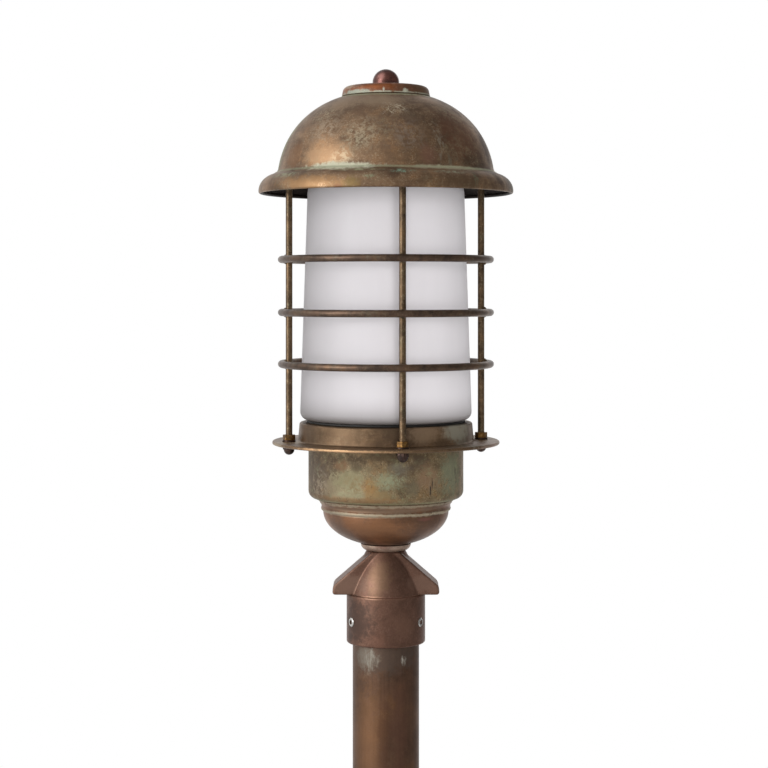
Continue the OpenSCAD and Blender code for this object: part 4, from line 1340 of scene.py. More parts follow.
@dataclass
class Hood(SubAssembly):
    """Spun hood, top cap, seal and finial nut.

    Args:
        wide: radius where the dome would be widest.
        full: height of the whole curve of the dome.
        belly: how far below the crease it would be widest.
        power: fullness of the dome's curve.
        crease: height of the crease.
        crease_out: radius of the crease.
        crease_soft: rounding of the crease.
        crease_past: how far outside and above it its corner is drawn, before the rounding.
        brim_wide: width of the brim's curve, a quarter of an ellipse.
        brim_high: height of that curve.
        brim_end: where the curve ends, in degrees past its widest place.
        brim_fall: how far below the crease the brim is widest.
        edge: radius of the brim's outer edge from the axis.
        roll: radius of the rolled edge.
        wall: thickness of the sheet.
        bore: radius of the holes for the stud.
        dome_end: how far above the crease the dome's curve ends.
        brim_start: how far outside the crease the brim's curve starts.
        cap_lean: how far the side of the top cap leans in.
        heart: height above the crease of a point that all of the inside looks at.
        steps: segments of the full turn.
    """

    wide: float = 98.66
    full: float = 89.9
    belly: float = 16.7
    power: float = 2.27
    crease: float = 906.0
    crease_out: float = 97.7
    crease_soft: float = 2.0
    crease_past: tuple[float, float] = (0.5, 0.3)
    brim_wide: float = 18.0
    brim_high: float = 15.6
    brim_end: float = 3.0
    brim_fall: float = 17.2
    edge: float = 115.04
    roll: float = 1.6
    wall: float = 1.5
    bore: float = 3.3
    dome_end: float = 2.6
    brim_start: float = 4.75
    cap_lean: float = 1.8
    heart: float = 9.0
    steps: int = 200

    def dome_out(self, up: float) -> float:
        """Radius of the dome at a height."""
        share = (up - self.crease + self.belly) / self.full
        return self.wide * (1 - share**self.power) ** (1 / self.power)

    def brim_at(self, angle: float, inside: float = 0.0) -> Corner:
        """Point of the brim's curve.

        Args:
            angle: angle in degrees from its widest place.
            inside: how far within the outside of the sheet.

        Returns:
            The point.
        """
        turned = math.radians(angle)
        return Corner(
            self.edge - self.brim_wide + (self.brim_wide - inside) * math.cos(turned),
            self.crease - self.brim_fall + (self.brim_high - inside) * math.sin(turned),
        )

    def path(self) -> list[Corner]:
        """Outside of the sheet from the crown to the rolled edge."""
        crown = Span.of("dome_hood").high
        first = math.acos((self.dome_out(crown) / self.wide) ** (self.power / 2))
        foot = self.dome_out(self.crease + self.dome_end)
        last = math.acos((foot / self.wide) ** (self.power / 2))
        steps = 60
        corners = [Corner(self.bore, crown)]
        for i in range(steps + 1):
            a = first + (last - first) * i / steps
            corners.append(
                Corner(
                    self.wide * math.cos(a) ** (2 / self.power),
                    self.crease - self.belly + self.full * math.sin(a) ** (2 / self.power),
                )
            )
        past, above = self.crease_past
        corners.append(Corner(self.crease_out + past, self.crease + above, self.crease_soft))
        shoulder = self.crease_out + self.brim_start - self.edge + self.brim_wide
        start = math.degrees(math.acos(shoulder / self.brim_wide))
        steps = 26
        swept = start + self.brim_end
        corners += [self.brim_at(start - swept * i / steps) for i in range(steps + 1)]
        return corners

    def build(self) -> None:
        """Makes the four pieces."""
        mesh = outline(self.path(), closed=False)
        turn(mesh, self.steps)
        top = max(mesh.faces, key=lambda f: f.calc_center_median().z)
        if top.normal.z < 0:
            bmesh.ops.reverse_faces(mesh, faces=mesh.faces[:])
        bmesh.ops.solidify(mesh, geom=mesh.faces[:], thickness=self.wall * MM)
        centre = self.brim_at(-self.brim_end, self.roll)
        bead = outline(hoop(centre.out, centre.up, self.roll, 12), closed=True)
        turn(bead, self.steps)
        joined(mesh, bead)
        piece = finished(mesh, "dome_hood_look")
        self.dresser.publish(piece, Finishes.DOME, "dome_hood")
        self.dresser.line(piece, Finishes.DARK_BRASS, self.crease + self.heart)
        self.build_cap()

    def build_cap(self) -> None:
        """Makes the top cap with its seal, and the finial nut."""
        cap = Span.of("top_cap")
        wall, lean = self.wall, self.cap_lean
        self.turned(
            "top_cap",
            [
                Corner(self.bore, cap.high),
                Corner(cap.reach - lean, cap.high, 5.0),
                Corner(cap.reach, cap.low, 0.5),
                Corner(cap.reach - wall, cap.low, 0.5),
                Corner(cap.reach - wall - lean, cap.high - wall, 3.5),
                Corner(self.bore, cap.high - wall),
            ],
            Finishes.TOP_CAP,
        )
        seal = Span.of("cap_seal")
        self.turned(
            "cap_seal",
            [
                Corner(self.bore, seal.low),
                Corner(seal.reach, seal.low, 0.6),
                Corner(seal.reach, seal.high, 0.6),
                Corner(self.bore, seal.high),
            ],
            Finishes.RUBBER,
            steps=64,
        )
        nut = Span.of("finial_nut")
        corners = [Corner(0, nut.low), Corner(nut.reach, nut.low, 0.5)]
        corners += arc(0, nut.high - nut.reach, nut.reach, 0, 90, 20)
        self.turned("finial_nut", corners, Finishes.FINIAL, closed=False, steps=96)


@dataclass
class Cage(SubAssembly):
    """Rods, rings, braze fillets and the small nuts on the rods.

    Args:
        rods: where the rods stand.
        ring_out: radius of the middle of the ring wire.
        wire: diameter of the ring wire.
        rod_edge: width of the softened ends of the rods.
        braze: half sizes of a lump of braze along the ring, outwards and upright.
        braze_past: how far its middle lies past the rod's surface.
        braze_sizes: least and greatest size of a lump, as shares.
        braze_seed: seed of those sizes.
        washer_bore: radius of the hole in a washer.
        washer_out: radius of a washer.
        flats: width of the small nuts across their flats.
        nut_edge: width of the softened edges of the hexagon nuts.
        nut_turn: how far each nut is turned past its rod, in degrees.
        acorn_edge: the same width on the acorn nuts.
        acorn_dome: radius of their dome, as a share of half their flats.
        acorn_sunk: how far the dome runs on inside the hexagon.
    """

    rods: RodPlaces = RodPlaces()
    ring_out: float = 94.3
    wire: float = 6.5
    rod_edge: float = 0.7
    braze: tuple[float, float, float] = (4.5, 2.5, 4.6)
    braze_past: float = 0.1
    braze_sizes: tuple[float, float] = (0.92, 1.08)
    braze_seed: int = 7
    washer_bore: float = 3.1
    washer_out: float = 6.0
    flats: float = 10.0
    nut_edge: float = 0.45
    nut_turn: float = -12.0
    acorn_edge: float = 0.4
    acorn_dome: float = 0.97
    acorn_sunk: float = 0.6

    RINGS = ("cage_ring_lower", "cage_ring_middle", "cage_ring_upper")
    RODS = ("cage_rod_front", "cage_rod_right", "cage_rod_back", "cage_rod_left")

    def build(self) -> None:
        """Makes all the pieces of the cage."""
        for name in self.RINGS:
            span = Span.of(name)
            level = (span.low + span.high) / 2
            corners = hoop(self.ring_out, level, self.wire / 2, 24)
            self.turned(name, corners, Finishes.RING, steps=192)
        for name, angle in zip(self.RODS, self.rods.angles()):
            self.build_rod(name, angle)
        self.build_braze()
        self.build_nuts()

    def build_rod(self, name: str, angle: float) -> None:
        """Makes one rod with softened ends.

        Args:
            name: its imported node.
            angle: its angle from the front.
        """
        span = Span.of(name)
        mesh = bmesh.new()
        place = (self.rods.at(angle) + Vector((0, 0, (span.low + span.high) / 2))) * MM
        bmesh.ops.create_cone(
            mesh,
            cap_ends=True,
            segments=36,
            radius1=self.rods.diameter * MM / 2,
            radius2=self.rods.diameter * MM / 2,
            depth=(span.high - span.low) * MM,
            matrix=Matrix.Translation(place),
        )
        rims = [e for e in mesh.edges if abs(e.verts[0].co.z - e.verts[1].co.z) < CLOSE]
        soften(mesh, rims, self.rod_edge)
        piece = finished(mesh, name + "_look")
        even_normals(piece)
        self.dresser.publish(piece, Finishes.ROD, name)

    def build_braze(self) -> None:
        """Makes the lump of braze metal where each rod meets each ring."""
        chance = random.Random(self.braze_seed)
        mesh = bmesh.new()
        seam = (self.rods.circle + self.rods.diameter / 2 + self.braze_past) * MM
        for name in self.RINGS:
            span = Span.of(name)
            level = (span.low + span.high) / 2 * MM
            for angle in self.rods.angles():
                sizes = [half * chance.uniform(*self.braze_sizes) * MM for half in self.braze]
                place = self.rods.at(angle, seam / MM) * MM + Vector((0, 0, level))
                shape = Matrix.Diagonal((*sizes, 1))
                matrix = Matrix.Translation(place) @ Matrix.Rotation(angle, 4, "Z") @ shape
                bmesh.ops.create_icosphere(mesh, subdivisions=3, radius=1.0, matrix=matrix)
        piece = finished(mesh, "braze_fillets")
        self.dresser.publish(piece, Finishes.BRAZE)

    def places(self, turned: float = 0.0) -> list[Matrix]:
        """Matrices of the four rods, for what is threaded onto them.

        Args:
            turned: turn about each rod's axis, in radians.

        Returns:
            The four matrices, from the front rod on.
        """
        return [
            Matrix.Translation(self.rods.at(a) * MM) @ Matrix.Rotation(a + turned, 4, "Z")
            for a in self.rods.angles()
        ]

    def build_nuts(self) -> None:
        """Makes the washers and the hexagon nuts, and then the acorn nuts."""
        washer = Span.of("flange_washers")
        mesh = outline(
            [
                Corner(self.washer_bore, washer.low),
                Corner(self.washer_out, washer.low, 0.3),
                Corner(self.washer_out, washer.high, 0.3),
                Corner(self.washer_bore, washer.high),
            ],
            closed=True,
            steps=2,
        )
        turn(mesh, 40)
        copies(mesh, self.places())
        piece = finished(mesh, "flange_washers_look")
        self.dresser.publish(piece, Finishes.ACORN, "flange_washers")
        nut = Span.of("flange_nuts")
        mesh = bmesh.new()
        hexagon_prism(mesh, self.flats, nut.low, nut.high, self.nut_edge)
        copies(mesh, self.places(math.radians(self.nut_turn)))
        piece = finished(mesh, "flange_nuts_look")
        even_normals(piece)
        self.dresser.publish(piece, Finishes.NUT, "flange_nuts")
        self.build_acorns()

    def build_acorns(self) -> None:
        """Makes the acorn nuts, each a hexagon over a dome that points down."""
        acorn = Span.of("acorn_nuts")
        dome = self.flats / 2 * self.acorn_dome
        seat = acorn.low + dome
        mesh = bmesh.new()
        hexagon_prism(mesh, self.flats, seat, acorn.high, self.acorn_edge)
        ball = bmesh.ops.create_uvsphere(
            mesh,
            u_segments=32,
            v_segments=20,
            radius=dome * MM,
            matrix=Matrix.Translation((0, 0, seat * MM)),
        )
        cap = ball["verts"]
        bmesh.ops.bisect_plane(
            mesh,
            geom=list({g for v in cap for g in (v, *v.link_edges, *v.link_faces)}),
            plane_co=(0, 0, (seat + self.acorn_sunk) * MM),
            plane_no=(0, 0, 1),
            clear_outer=True,
        )
        copies(mesh, self.places())
        piece = finished(mesh, "acorn_nuts_look")
        self.dresser.publish(piece, Finishes.ACORN, "acorn_nuts")


@dataclass
class GlassUnit(SubAssembly):
    """Opal glass, its gasket, and the collar with the wide flange.

    Args:
        foot: radius of the glass at its foot.
        top: radius of the glass at its top, before the rounding.
        wall: thickness of the glass.
        shoulder: rounding of the top corner.
        foot_soft: rounding of the glass at its foot.
        seat: width of the ring that rests on the gasket.
        pressed: how far the glass has sunk into its gasket.
        gasket_in: how far the gasket stays back from the inside of the seat.
        gasket_back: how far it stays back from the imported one's outer edge.
        flange_out: radius of the wide flange.
        flange_thick: its thickness.
        collar_gap: gap between the glass and the collar's bore.
        collar_foot: how far the collar stands out past the glass at its foot.
        collar_rim: how far it stands out at its rim.
        shelf_wide: width of the shelf under the gasket.
        shelf_thick: thickness of the shelf.
    """

    foot: float = 77.7
    top: float = 70.4
    wall: float = 4.0
    shoulder: float = 15.0
    foot_soft: float = 7.4
    seat: float = 11.9
    pressed: float = 0.9
    gasket_in: float = 0.5
    gasket_back: float = 2.0
    flange_out: float = 102.6
    flange_thick: float = 3.0
    collar_gap: float = 0.7
    collar_foot: float = 1.7
    collar_rim: float = 0.3
    shelf_wide: float = 10.5
    shelf_thick: float = 4.1

    def build(self) -> None:
        """Makes the glass, the gasket and the collar."""
        glass = Span.of("glass_diffuser")
        gasket = Span.of("glass_gasket")
        rest = gasket.high - self.pressed
        neck = self.foot - self.seat
        foot_in, top_in = self.foot - self.wall, self.top - self.wall
        self.turned(
            "glass_diffuser",
            [
                Corner(0, glass.high),
                Corner(self.top, glass.high, self.shoulder),
                Corner(self.foot, rest, self.foot_soft),
                Corner(neck, rest, 0.8),
                Corner(neck, glass.low, 1.5),
                Corner(neck - self.wall, glass.low, 1.5),
                Corner(neck - self.wall, rest + self.wall, 2.0),
                Corner(foot_in, rest + self.wall, 2.0),
                Corner(top_in, glass.high - self.wall, self.shoulder - self.wall),
                Corner(0, glass.high - self.wall),
            ],
            Finishes.OPAL,
            closed=False,
            steps=192,
        )
        inner, outer = neck + self.gasket_in, gasket.reach - self.gasket_back
        self.turned(
            "glass_gasket",
            [
                Corner(inner, gasket.low, 0.4),
                Corner(outer, gasket.low, 0.6),
                Corner(outer, rest, 0.6),
                Corner(inner, rest, 0.4),
            ],
            Finishes.RUBBER,
        )
        self.build_collar(neck + self.collar_gap)

    def build_collar(self, bore: float) -> None:
        """Makes the collar, its shelf and the wide flange, which are one casting.

        Args:
            bore: radius of the collar's bore.
        """
        collar = Span.of("glass_collar")
        low = collar.low
        flange, shelf_top = low + self.flange_thick, low + self.shelf_thick
        shelf = bore - self.shelf_wide
        self.turned(
            "glass_collar",
            [
                Corner(shelf, low, 0.5),
                Corner(self.flange_out, low, 1.2),
                Corner(self.flange_out, flange, 1.3),
                Corner(self.foot + self.collar_foot, flange, 2.0),
                Corner(self.foot + self.collar_rim, collar.high, 2.0),
                Corner(bore, collar.high, 0.5),
                Corner(bore, shelf_top, 0.5),
                Corner(shelf, shelf_top, 0.5),
            ],
            Finishes.COLLAR,
            steps=200,
        )


@dataclass
class LampBody(SubAssembly):
    """Canister, moulded bowl and the disc under it.

    Args:
        out: radius of the canister.
        wall: its wall.
        corner: rounding of its lower corner.
        floor_bore: radius of the opening in its floor.
        floor_thick: thickness of its floor.
        mouth: radius of the opening in its upper ring.
        ring_thick: thickness of that ring.
        bowl_out: greatest radius of the bowl.
        bowl_foot: radius of its flat foot.
        bowl_deep: depth of the bowl below its widest level.
        bowl_wall: thickness of the bowl's wall near its ledge.
        foot_thick: thickness of its foot.
        inner_bend: where its inner wall bends, as shares of its radius and its depth.
        ledge_out: how far the ledge's upper bead stands out past the bowl.
        ledge_bore: radius of the opening in the ledge.
        ledge_thick: thickness of the ledge.
        bead_low: radius of the lower bead.
        bead_low_in: how far its centre lies inside the bowl's widest radius.
        bead_low_up: how far its foot lies above the widest level.
        bead_high: radius of the upper bead.
        bead_high_down: how far its top lies below the ledge's.
        cove: radius of the hollow between them.
        cove_down: how far the hollow's centre lies below the middle of the beads' centres.
        stem: radius of the hole for the stem.
    """

    out: float = 70.0
    wall: float = 3.0
    corner: float = 6.8
    floor_bore: float = 50.0
    floor_thick: float = 3.0
    mouth: float = 56.0
    ring_thick: float = 4.0
    bowl_out: float = 56.7
    bowl_foot: float = 19.8
    bowl_deep: float = 29.7
    bowl_wall: float = 2.0
    foot_thick: float = 2.2
    inner_bend: tuple[float, float] = (0.8, 0.55)
    ledge_out: float = 4.4
    ledge_bore: float = 51.4
    ledge_thick: float = 2.4
    bead_low: float = 2.0
    bead_low_in: float = 0.1
    bead_low_up: float = 0.3
    bead_high: float = 1.2
    bead_high_down: float = 0.1
    cove: float = 4.0
    cove_down: float = 1.7
    stem: float = 8.2

    def build(self) -> None:
        """Makes the three pieces."""
        can = Span.of("lamp_canister")
        inner = self.out - self.wall
        floor, ring = can.low + self.floor_thick, can.high - self.ring_thick
        self.turned(
            "lamp_canister",
            [
                Corner(self.floor_bore, can.low, 0.5),
                Corner(self.out, can.low, self.corner),
                Corner(self.out, can.high, 0.4),
                Corner(self.mouth, can.high, 0.4),
                Corner(self.mouth, ring, 0.5),
                Corner(inner, ring, 1.0),
                Corner(inner, floor, self.corner - self.wall),
                Corner(self.floor_bore, floor, 0.5),
            ],
            Finishes.CANISTER,
            steps=180,
        )
        self.build_bowl()
        disc = Span.of("neck_disc")
        rise = disc.high - disc.low
        corners = [Corner(self.stem, disc.low)]
        corners += arc(disc.reach - rise, disc.high, rise, -90, -2, 12)
        corners.append(Corner(self.stem, disc.high))
        self.turned("neck_disc", corners, Finishes.NECK, steps=120)

    def build_bowl(self) -> None:
        """Makes the bowl with the two beads and the cove of its ledge."""
        bowl = Span.of("base_bowl")
        level = bowl.low + self.bowl_deep
        full = self.bowl_deep / math.sqrt(1 - (self.bowl_foot / self.bowl_out) ** 2)
        start = math.asin(self.bowl_foot / self.bowl_out)
        corners = [Corner(self.stem, bowl.low)]
        steps = 30
        for i in range(steps + 1):
            a = start + (math.pi / 2 - start) * i / steps
            soft = 0.6 if i == 0 else 0.0
            corners.append(Corner(self.bowl_out * math.sin(a), level - full * math.cos(a), soft))
        corners += self.ledge(level, bowl.high)
        inner, under = self.bowl_out - self.bowl_wall, bowl.high - self.ledge_thick
        bend_out, bend_down = self.inner_bend
        corners += [
            Corner(self.ledge_bore, bowl.high),
            Corner(self.ledge_bore, under),
            Corner(inner, under),
            Corner(inner, level),
            Corner(self.bowl_out * bend_out, level - full * bend_down),
            Corner(self.bowl_foot, bowl.low + self.foot_thick),
            Corner(self.stem, bowl.low + self.foot_thick),
        ]
        self.turned("base_bowl", corners, Finishes.BOWL, steps=180)

    def ledge(self, level: float, top: float) -> list[Corner]:
        """Outside of the ledge: the lower bead, the hollow and the upper bead.

        Args:
            level: height where the bowl is widest.
            top: height of the ledge's upper face.

        Returns:
            The corners from below.
        """
        low = Corner(self.bowl_out - self.bead_low_in, level + self.bead_low + self.bead_low_up)
        high_out = self.bowl_out + self.ledge_out - self.bead_high
        high = Corner(high_out, top - self.bead_high - self.bead_high_down)
        middle = (low.out + high.out) / 2, (low.up + high.up) / 2
        return [
            *arc(low.out, low.up, self.bead_low, -40, 40, 9),
            *arc(middle[0] + self.cove, middle[1] - self.cove_down, self.cove, 189, 129, 8),
            *arc(high.out, high.up, self.bead_high, -80, 85, 9),
        ]


@dataclass
class PostCap(SubAssembly):
    """Winged cap: a sleeve, a cone and two wings that blend into one casting.

    Args:
        wing_half: distance of a wing's tip from the axis.
        wing_thick: thickness of the wings from front to back.
        wing_edge: width of their softened edges.
        ridge_half: half of the level ridge.
        ridge_sunk: how far the ridge lies below the seat of the cone.
        tip_high: height of the wings' upright ends.
        tip_lean: how far those ends lean in.
        tip_soft: rounding of their upper corners.
        heel_soft: rounding of their lower corners.
        shoulder_up: height of the sleeve.
        sleeve_out: radius of the sleeve.
        bore: radius of its bore.
        cone_foot: radius of the cone at its foot.
        cone_top: radius of the seat on the cone.
        cone_root: how far the cone runs down into the sleeve.
        bulge: how far the cone's side stands out of a straight line.
        voxel: size of the cells that blend the cone and the wings.
        smoothings: how many times the blend is smoothed.
    """

    wing_half: float = 48.1
    wing_thick: float = 34.0
    wing_edge: float = 1.5
    ridge_half: float = 12.3
    ridge_sunk: float = 0.05
    tip_high: float = 7.8
    tip_lean: float = 0.5
    tip_soft: float = 6.0
    heel_soft: float = 2.4
    shoulder_up: float = 44.5
    sleeve_out: float = 35.5
    bore: float = 30.3
    cone_foot: float = 33.7
    cone_top: float = 17.5
    cone_root: float = 3.0
    bulge: float = 1.2
    voxel: float = 0.62
    smoothings: int = 3

    def build(self) -> None:
        """Blends the cone and the wings and adds the sleeve."""
        cap = Span.of("post_cap")
        shoulder = cap.low + self.shoulder_up
        mesh = self.cone(cap, shoulder)
        joined(mesh, self.wings(cap, shoulder))
        casting = self.blended(mesh)
        collar = shoulder + 0.1
        sleeve = outline(
            [
                Corner(self.bore, cap.low, 0.6),
                Corner(self.sleeve_out, cap.low, 1.6),
                Corner(self.sleeve_out, collar, 1.9),
                Corner(self.cone_foot - 1, collar),
                Corner(self.bore, shoulder - 2),
            ],
            closed=True,
        )
        turn(sleeve, 144)
        joined(casting, sleeve)
        piece = finished(casting, "post_cap_look", 40.0)
        self.dresser.publish(piece, Finishes.CAST, "post_cap")

    def cone(self, cap: Span, shoulder: float) -> bmesh.types.BMesh:
        """The cone from its seat down into the sleeve.

        Args:
            cap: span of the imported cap.
            shoulder: height of the sleeve's upper end.

        Returns:
            Its mesh.
        """
        corners = [Corner(0, cap.high), Corner(self.cone_top, cap.high, 0.6)]
        wider, steps = self.cone_foot - self.cone_top, 8
        for i in range(1, steps + 1):
            s = i / steps
            out = self.cone_top + wider * s + self.bulge * math.sin(math.pi * s)
            corners.append(Corner(out, cap.high - (cap.high - shoulder) * s))
        root = shoulder - self.cone_root
        mesh = outline([*corners, Corner(self.cone_foot, root), Corner(0, root)], closed=False)
        turn(mesh, 120)
        return mesh

    def wings(self, cap: Span, shoulder: float) -> bmesh.types.BMesh:
        """The two wings and the ridge between them, as one slab.

        Args:
            cap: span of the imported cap.
            shoulder: height of the sleeve's upper end.

        Returns:
            Its mesh.
        """
        ridge, tip = cap.high - self.ridge_sunk, shoulder + self.tip_high
        upper = self.wing_half - self.tip_lean
        slab = outline(
            [
                Corner(self.ridge_half, ridge),
                Corner(upper, tip, self.tip_soft),
                Corner(self.wing_half, shoulder, self.heel_soft),
                Corner(-self.wing_half, shoulder, self.heel_soft),
                Corner(-upper, tip, self.tip_soft),
                Corner(-self.ridge_half, ridge),
            ],
            closed=True,
        )
        face = bmesh.ops.contextual_create(slab, geom=slab.edges[:])["faces"]
        grown = bmesh.ops.extrude_face_region(slab, geom=face)["geom"]
        thick = self.wing_thick * MM
        bmesh.ops.translate(slab, vec=(0, thick, 0), verts=verts_of(grown))
        bmesh.ops.translate(slab, vec=(0, -thick / 2, 0), verts=slab.verts[:])
        bmesh.ops.recalc_face_normals(slab, faces=slab.faces[:])
        rims = [e for e in slab.edges if abs(e.verts[0].co.y - e.verts[1].co.y) < CLOSE]
        soften(slab, rims, self.wing_edge, 4)
        return slab

    def blended(self, mesh: bmesh.types.BMesh) -> bmesh.types.BMesh:
        """Blends shapes that cut through each other, as a mould's fillets do.

        Args:
            mesh: the shapes, which are freed.

        Returns:
            The mesh of the blend.
        """
        rough = finished(mesh, "cast_blend")
        remesh = rough.modifiers.new("blend", "REMESH")
        remesh.mode = "VOXEL"
        remesh.voxel_size = self.voxel * MM
        remesh.use_smooth_shade = True
        baked(rough)
        casting = bmesh.new()
        casting.from_mesh(rough.data)
        axes = dict.fromkeys(("use_axis_x", "use_axis_y", "use_axis_z"), True)
        for _ in range(self.smoothings):
            bmesh.ops.smooth_vert(casting, verts=casting.verts[:], factor=0.5, **axes)
        bpy.data.objects.remove(rough)
        return casting


@dataclass
class SetScrews(SubAssembly):
    """The three set screws in the sleeve of the cap, with hexagon sockets.

    Args:
        up: height of their axes above the cap's foot.
        out: distance of their faces from the axis.
        half: radius of a screw.
        socket: width of the socket across its flats.
        chamfer: width of the chamfer round the face.
        long: how far a screw goes in behind the chamfer.
        deep: depth of the socket.
        turns: their places round the axis in degrees.
    """

    up: float = 20.4
    out: float = 36.4
    half: float = 4.0
    socket: float = 4.0
    chamfer: float = 0.6
    long: float = 4.5
    deep: float = 3.4
    turns: tuple[float, ...] = (60.0, 180.0, 300.0)

    def build(self) -> None:
        """Makes the screws."""
        level = Span.of("post_cap").low + self.up
        mesh = self.screw()
        stand = Matrix.Rotation(math.pi / 2, 4, "X")
        place = Matrix.Translation((0, -self.out * MM, level * MM))
        turns = [Matrix.Rotation(math.radians(a), 4, "Z") for a in self.turns]
        copies(mesh, [turned @ place @ stand for turned in turns])
        piece = finished(mesh, "set_screws_look", 25.0)
        self.dresser.publish(piece, Finishes.STEEL, "set_screws")

    def screw(self) -> bmesh.types.BMesh:
        """One screw that faces up, with its face at zero."""
        corner, face = self.socket / 2 / math.cos(math.pi / 6), self.half - self.chamfer
        mesh = bmesh.new()
        rim = bmesh.ops.create_circle(mesh, cap_ends=False, segments=36, radius=face * MM)
        hexagon = bmesh.ops.create_circle(mesh, cap_ends=False, segments=6, radius=corner * MM)
        bmesh.ops.bridge_loops(mesh, edges=mesh.edges[:])
        rims = [e for e in mesh.edges if all(v in rim["verts"] for v in e.verts)]
        wall = bmesh.ops.extrude_edge_only(mesh, edges=rims)["geom"]
        ring = verts_of(wall)
        bmesh.ops.scale(mesh, vec=(self.half / face,) * 2 + (1,), verts=ring)
        bmesh.ops.translate(mesh, vec=(0, 0, -self.chamfer * MM), verts=ring)
        rims = [g for g in wall if isinstance(g, bmesh.types.BMEdge) and g.is_boundary]
        side = bmesh.ops.extrude_edge_only(mesh, edges=rims)["geom"]
        bmesh.ops.translate(mesh, vec=(0, 0, -self.long * MM), verts=verts_of(side))
        flats = [e for e in mesh.edges if all(v in hexagon["verts"] for v in e.verts)]
        well = bmesh.ops.extrude_edge_only(mesh, edges=flats)["geom"]
        bmesh.ops.translate(mesh, vec=(0, 0, -self.deep * MM), verts=verts_of(well))
        bmesh.ops.holes_fill(mesh, edges=[e for e in mesh.edges if e.is_boundary], sides=0)
        bmesh.ops.recalc_face_normals(mesh, faces=mesh.faces[:])
        return mesh


@dataclass
class Post(SubAssembly):
    """The tube pole and the ground flange with its anchor holes.

    Args:
        tube_wall: thickness of the pole's wall.
        hub_out: radius of the flange's hub.
        hub_bore: radius of its bore.
        plate: thickness of the flange's plate.
        step: height of the step that the pole stands on.
        cable_hole: radius of the hole for the cable.
        anchors: number of anchor holes.
        anchor_circle: radius of the circle that they lie on.
        anchor_turn: place of the first one in degrees from the front.
        anchor_hole: radius of a hole.
        drill: length of the drill that cuts them.
    """

    tube_wall: float = 2.5
    hub_out: float = 38.3
    hub_bore: float = 30.3
    plate: float = 10.0
    step: float = 4.0
    cable_hole: float = 20.0
    anchors: int = 4
    anchor_circle: float = 75.0
    anchor_turn: float = 45.0
    anchor_hole: float = 5.5
    drill: float = 30.0

    def build(self) -> None:
        """Makes the pole and the flange."""
        pole = Span.of("pole")
        inner = pole.reach - self.tube_wall
        self.turned(
            "pole",
            [
                Corner(inner, pole.low, 0.3),
                Corner(pole.reach, pole.low, 0.3),
                Corner(pole.reach, pole.high, 0.3),
                Corner(inner, pole.high, 0.3),
            ],
            Finishes.POLE,
            steps=128,
        )
        self.build_flange()

    def build_flange(self) -> None:
        """Makes the ground flange and drills its anchor holes."""
        foot = Span.of("base_flange")
        plate, step = foot.low + self.plate, foot.low + self.step
        mesh = outline(
            [
                Corner(self.cable_hole, foot.low, 0.5),
                Corner(foot.reach, foot.low, 0.6),
                Corner(foot.reach, plate, 2.0),
                Corner(self.hub_out, plate, 6.0),
                Corner(self.hub_out, foot.high, 2.0),
                Corner(self.hub_bore, foot.high, 0.6),
                Corner(self.hub_bore, step),
                Corner(self.cable_hole, step, 0.6),
            ],
            closed=True,
        )
        turn(mesh, 180)
        piece = finished(mesh, "base_flange_look")
        drills = bmesh.new()
        for k in range(self.anchors):
            angle = math.radians(self.anchor_turn + 360 / self.anchors * k)
            way = Vector((math.sin(angle), -math.cos(angle), 0)) * self.anchor_circle
            bmesh.ops.create_cone(
                drills,
                cap_ends=True,
                segments=48,
                radius1=self.anchor_hole * MM,
                radius2=self.anchor_hole * MM,
                depth=self.drill * MM,
                matrix=Matrix.Translation((way + Vector((0, 0, self.plate / 2))) * MM),
            )
        cutter = finished(drills, "drills")
        holes = piece.modifiers.new("anchor_holes", "BOOLEAN")
        holes.operation = "DIFFERENCE"
        holes.solver = "EXACT"
        holes.object = cutter
        baked(piece)
        bpy.data.objects.remove(cutter)
        even_normals(piece)
        self.dresser.publish(piece, Finishes.FLANGE, "base_flange")


@dataclass
class Inside(SubAssembly):
    """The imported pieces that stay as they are, with their finishes."""

    FITTINGS = (
        "stem_nipple",
        "stem_nut_lower",
        "stem_nut_upper",
        "earth_screw",
        "bracket_screws",
        "holder_nipple",
        "holder_nut",
        "holder_shell",
        "collar_screws",
        "hood_spider",
        "spider_nuts",
        "hood_stud",
        "stud_nuts",
        "crown_washer",
    )
    KEPT = {
        **dict.fromkeys(FITTINGS, Finishes.NUT),
        "chassis_plate": Finishes.ZINC,
        "holder_bracket": Finishes.ZINC,
        "cable_grommet": Finishes.RUBBER,
        "terminal_block": Finishes.NYLON,
        "lamp_holder": Finishes.PORCELAIN,
        "bulb": Finishes.LAMP,
        "lamp_leads": Finishes.SLEEVE,
    }

    def build(self, nodes: dict[str, bpy.types.Object]) -> None:
        """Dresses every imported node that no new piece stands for.

        Args:
            nodes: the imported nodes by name.
        """
        for name, finish in self.KEPT.items():
            self.dresser.keep(nodes[name], finish)
        left = set(nodes) - self.dresser.replaced - set(self.KEPT)
        if left:
            LOG.warning("nodes without a finish: %s", sorted(left))


@dataclass(frozen=True)
class Softbox:
    """A square lamp.

    Args:
        name: its name.
        at: its place.
        size: its side.
        power: its power in watts.
        shows: whether metal and glass reflect it.
        spreads: whether it lights matt surfaces.
    """

    name: str
    at: tuple[float, float, float]
    size: float
    power: float
    shows: bool = True
    spreads: bool = True

    def build(self, aim: float) -> None:
        """Makes the lamp and turns it to the lantern's axis.

        Args:
            aim: height on the axis that it faces.
        """
        data = bpy.data.lights.new(self.name, "AREA")
        data.shape = "SQUARE"
        data.size = self.size * MM
        data.energy = self.power
        lamp = bpy.data.objects.new(self.name, data)
        lamp.visible_glossy = self.shows
        lamp.visible_diffuse = self.spreads
        lamp.location = Vector(self.at) * MM
        way = Vector((0, 0, aim)) - Vector(self.at)
        lamp.rotation_euler = way.to_track_quat("-Z", "Y").to_euler()
        bpy.context.scene.collection.objects.link(lamp)


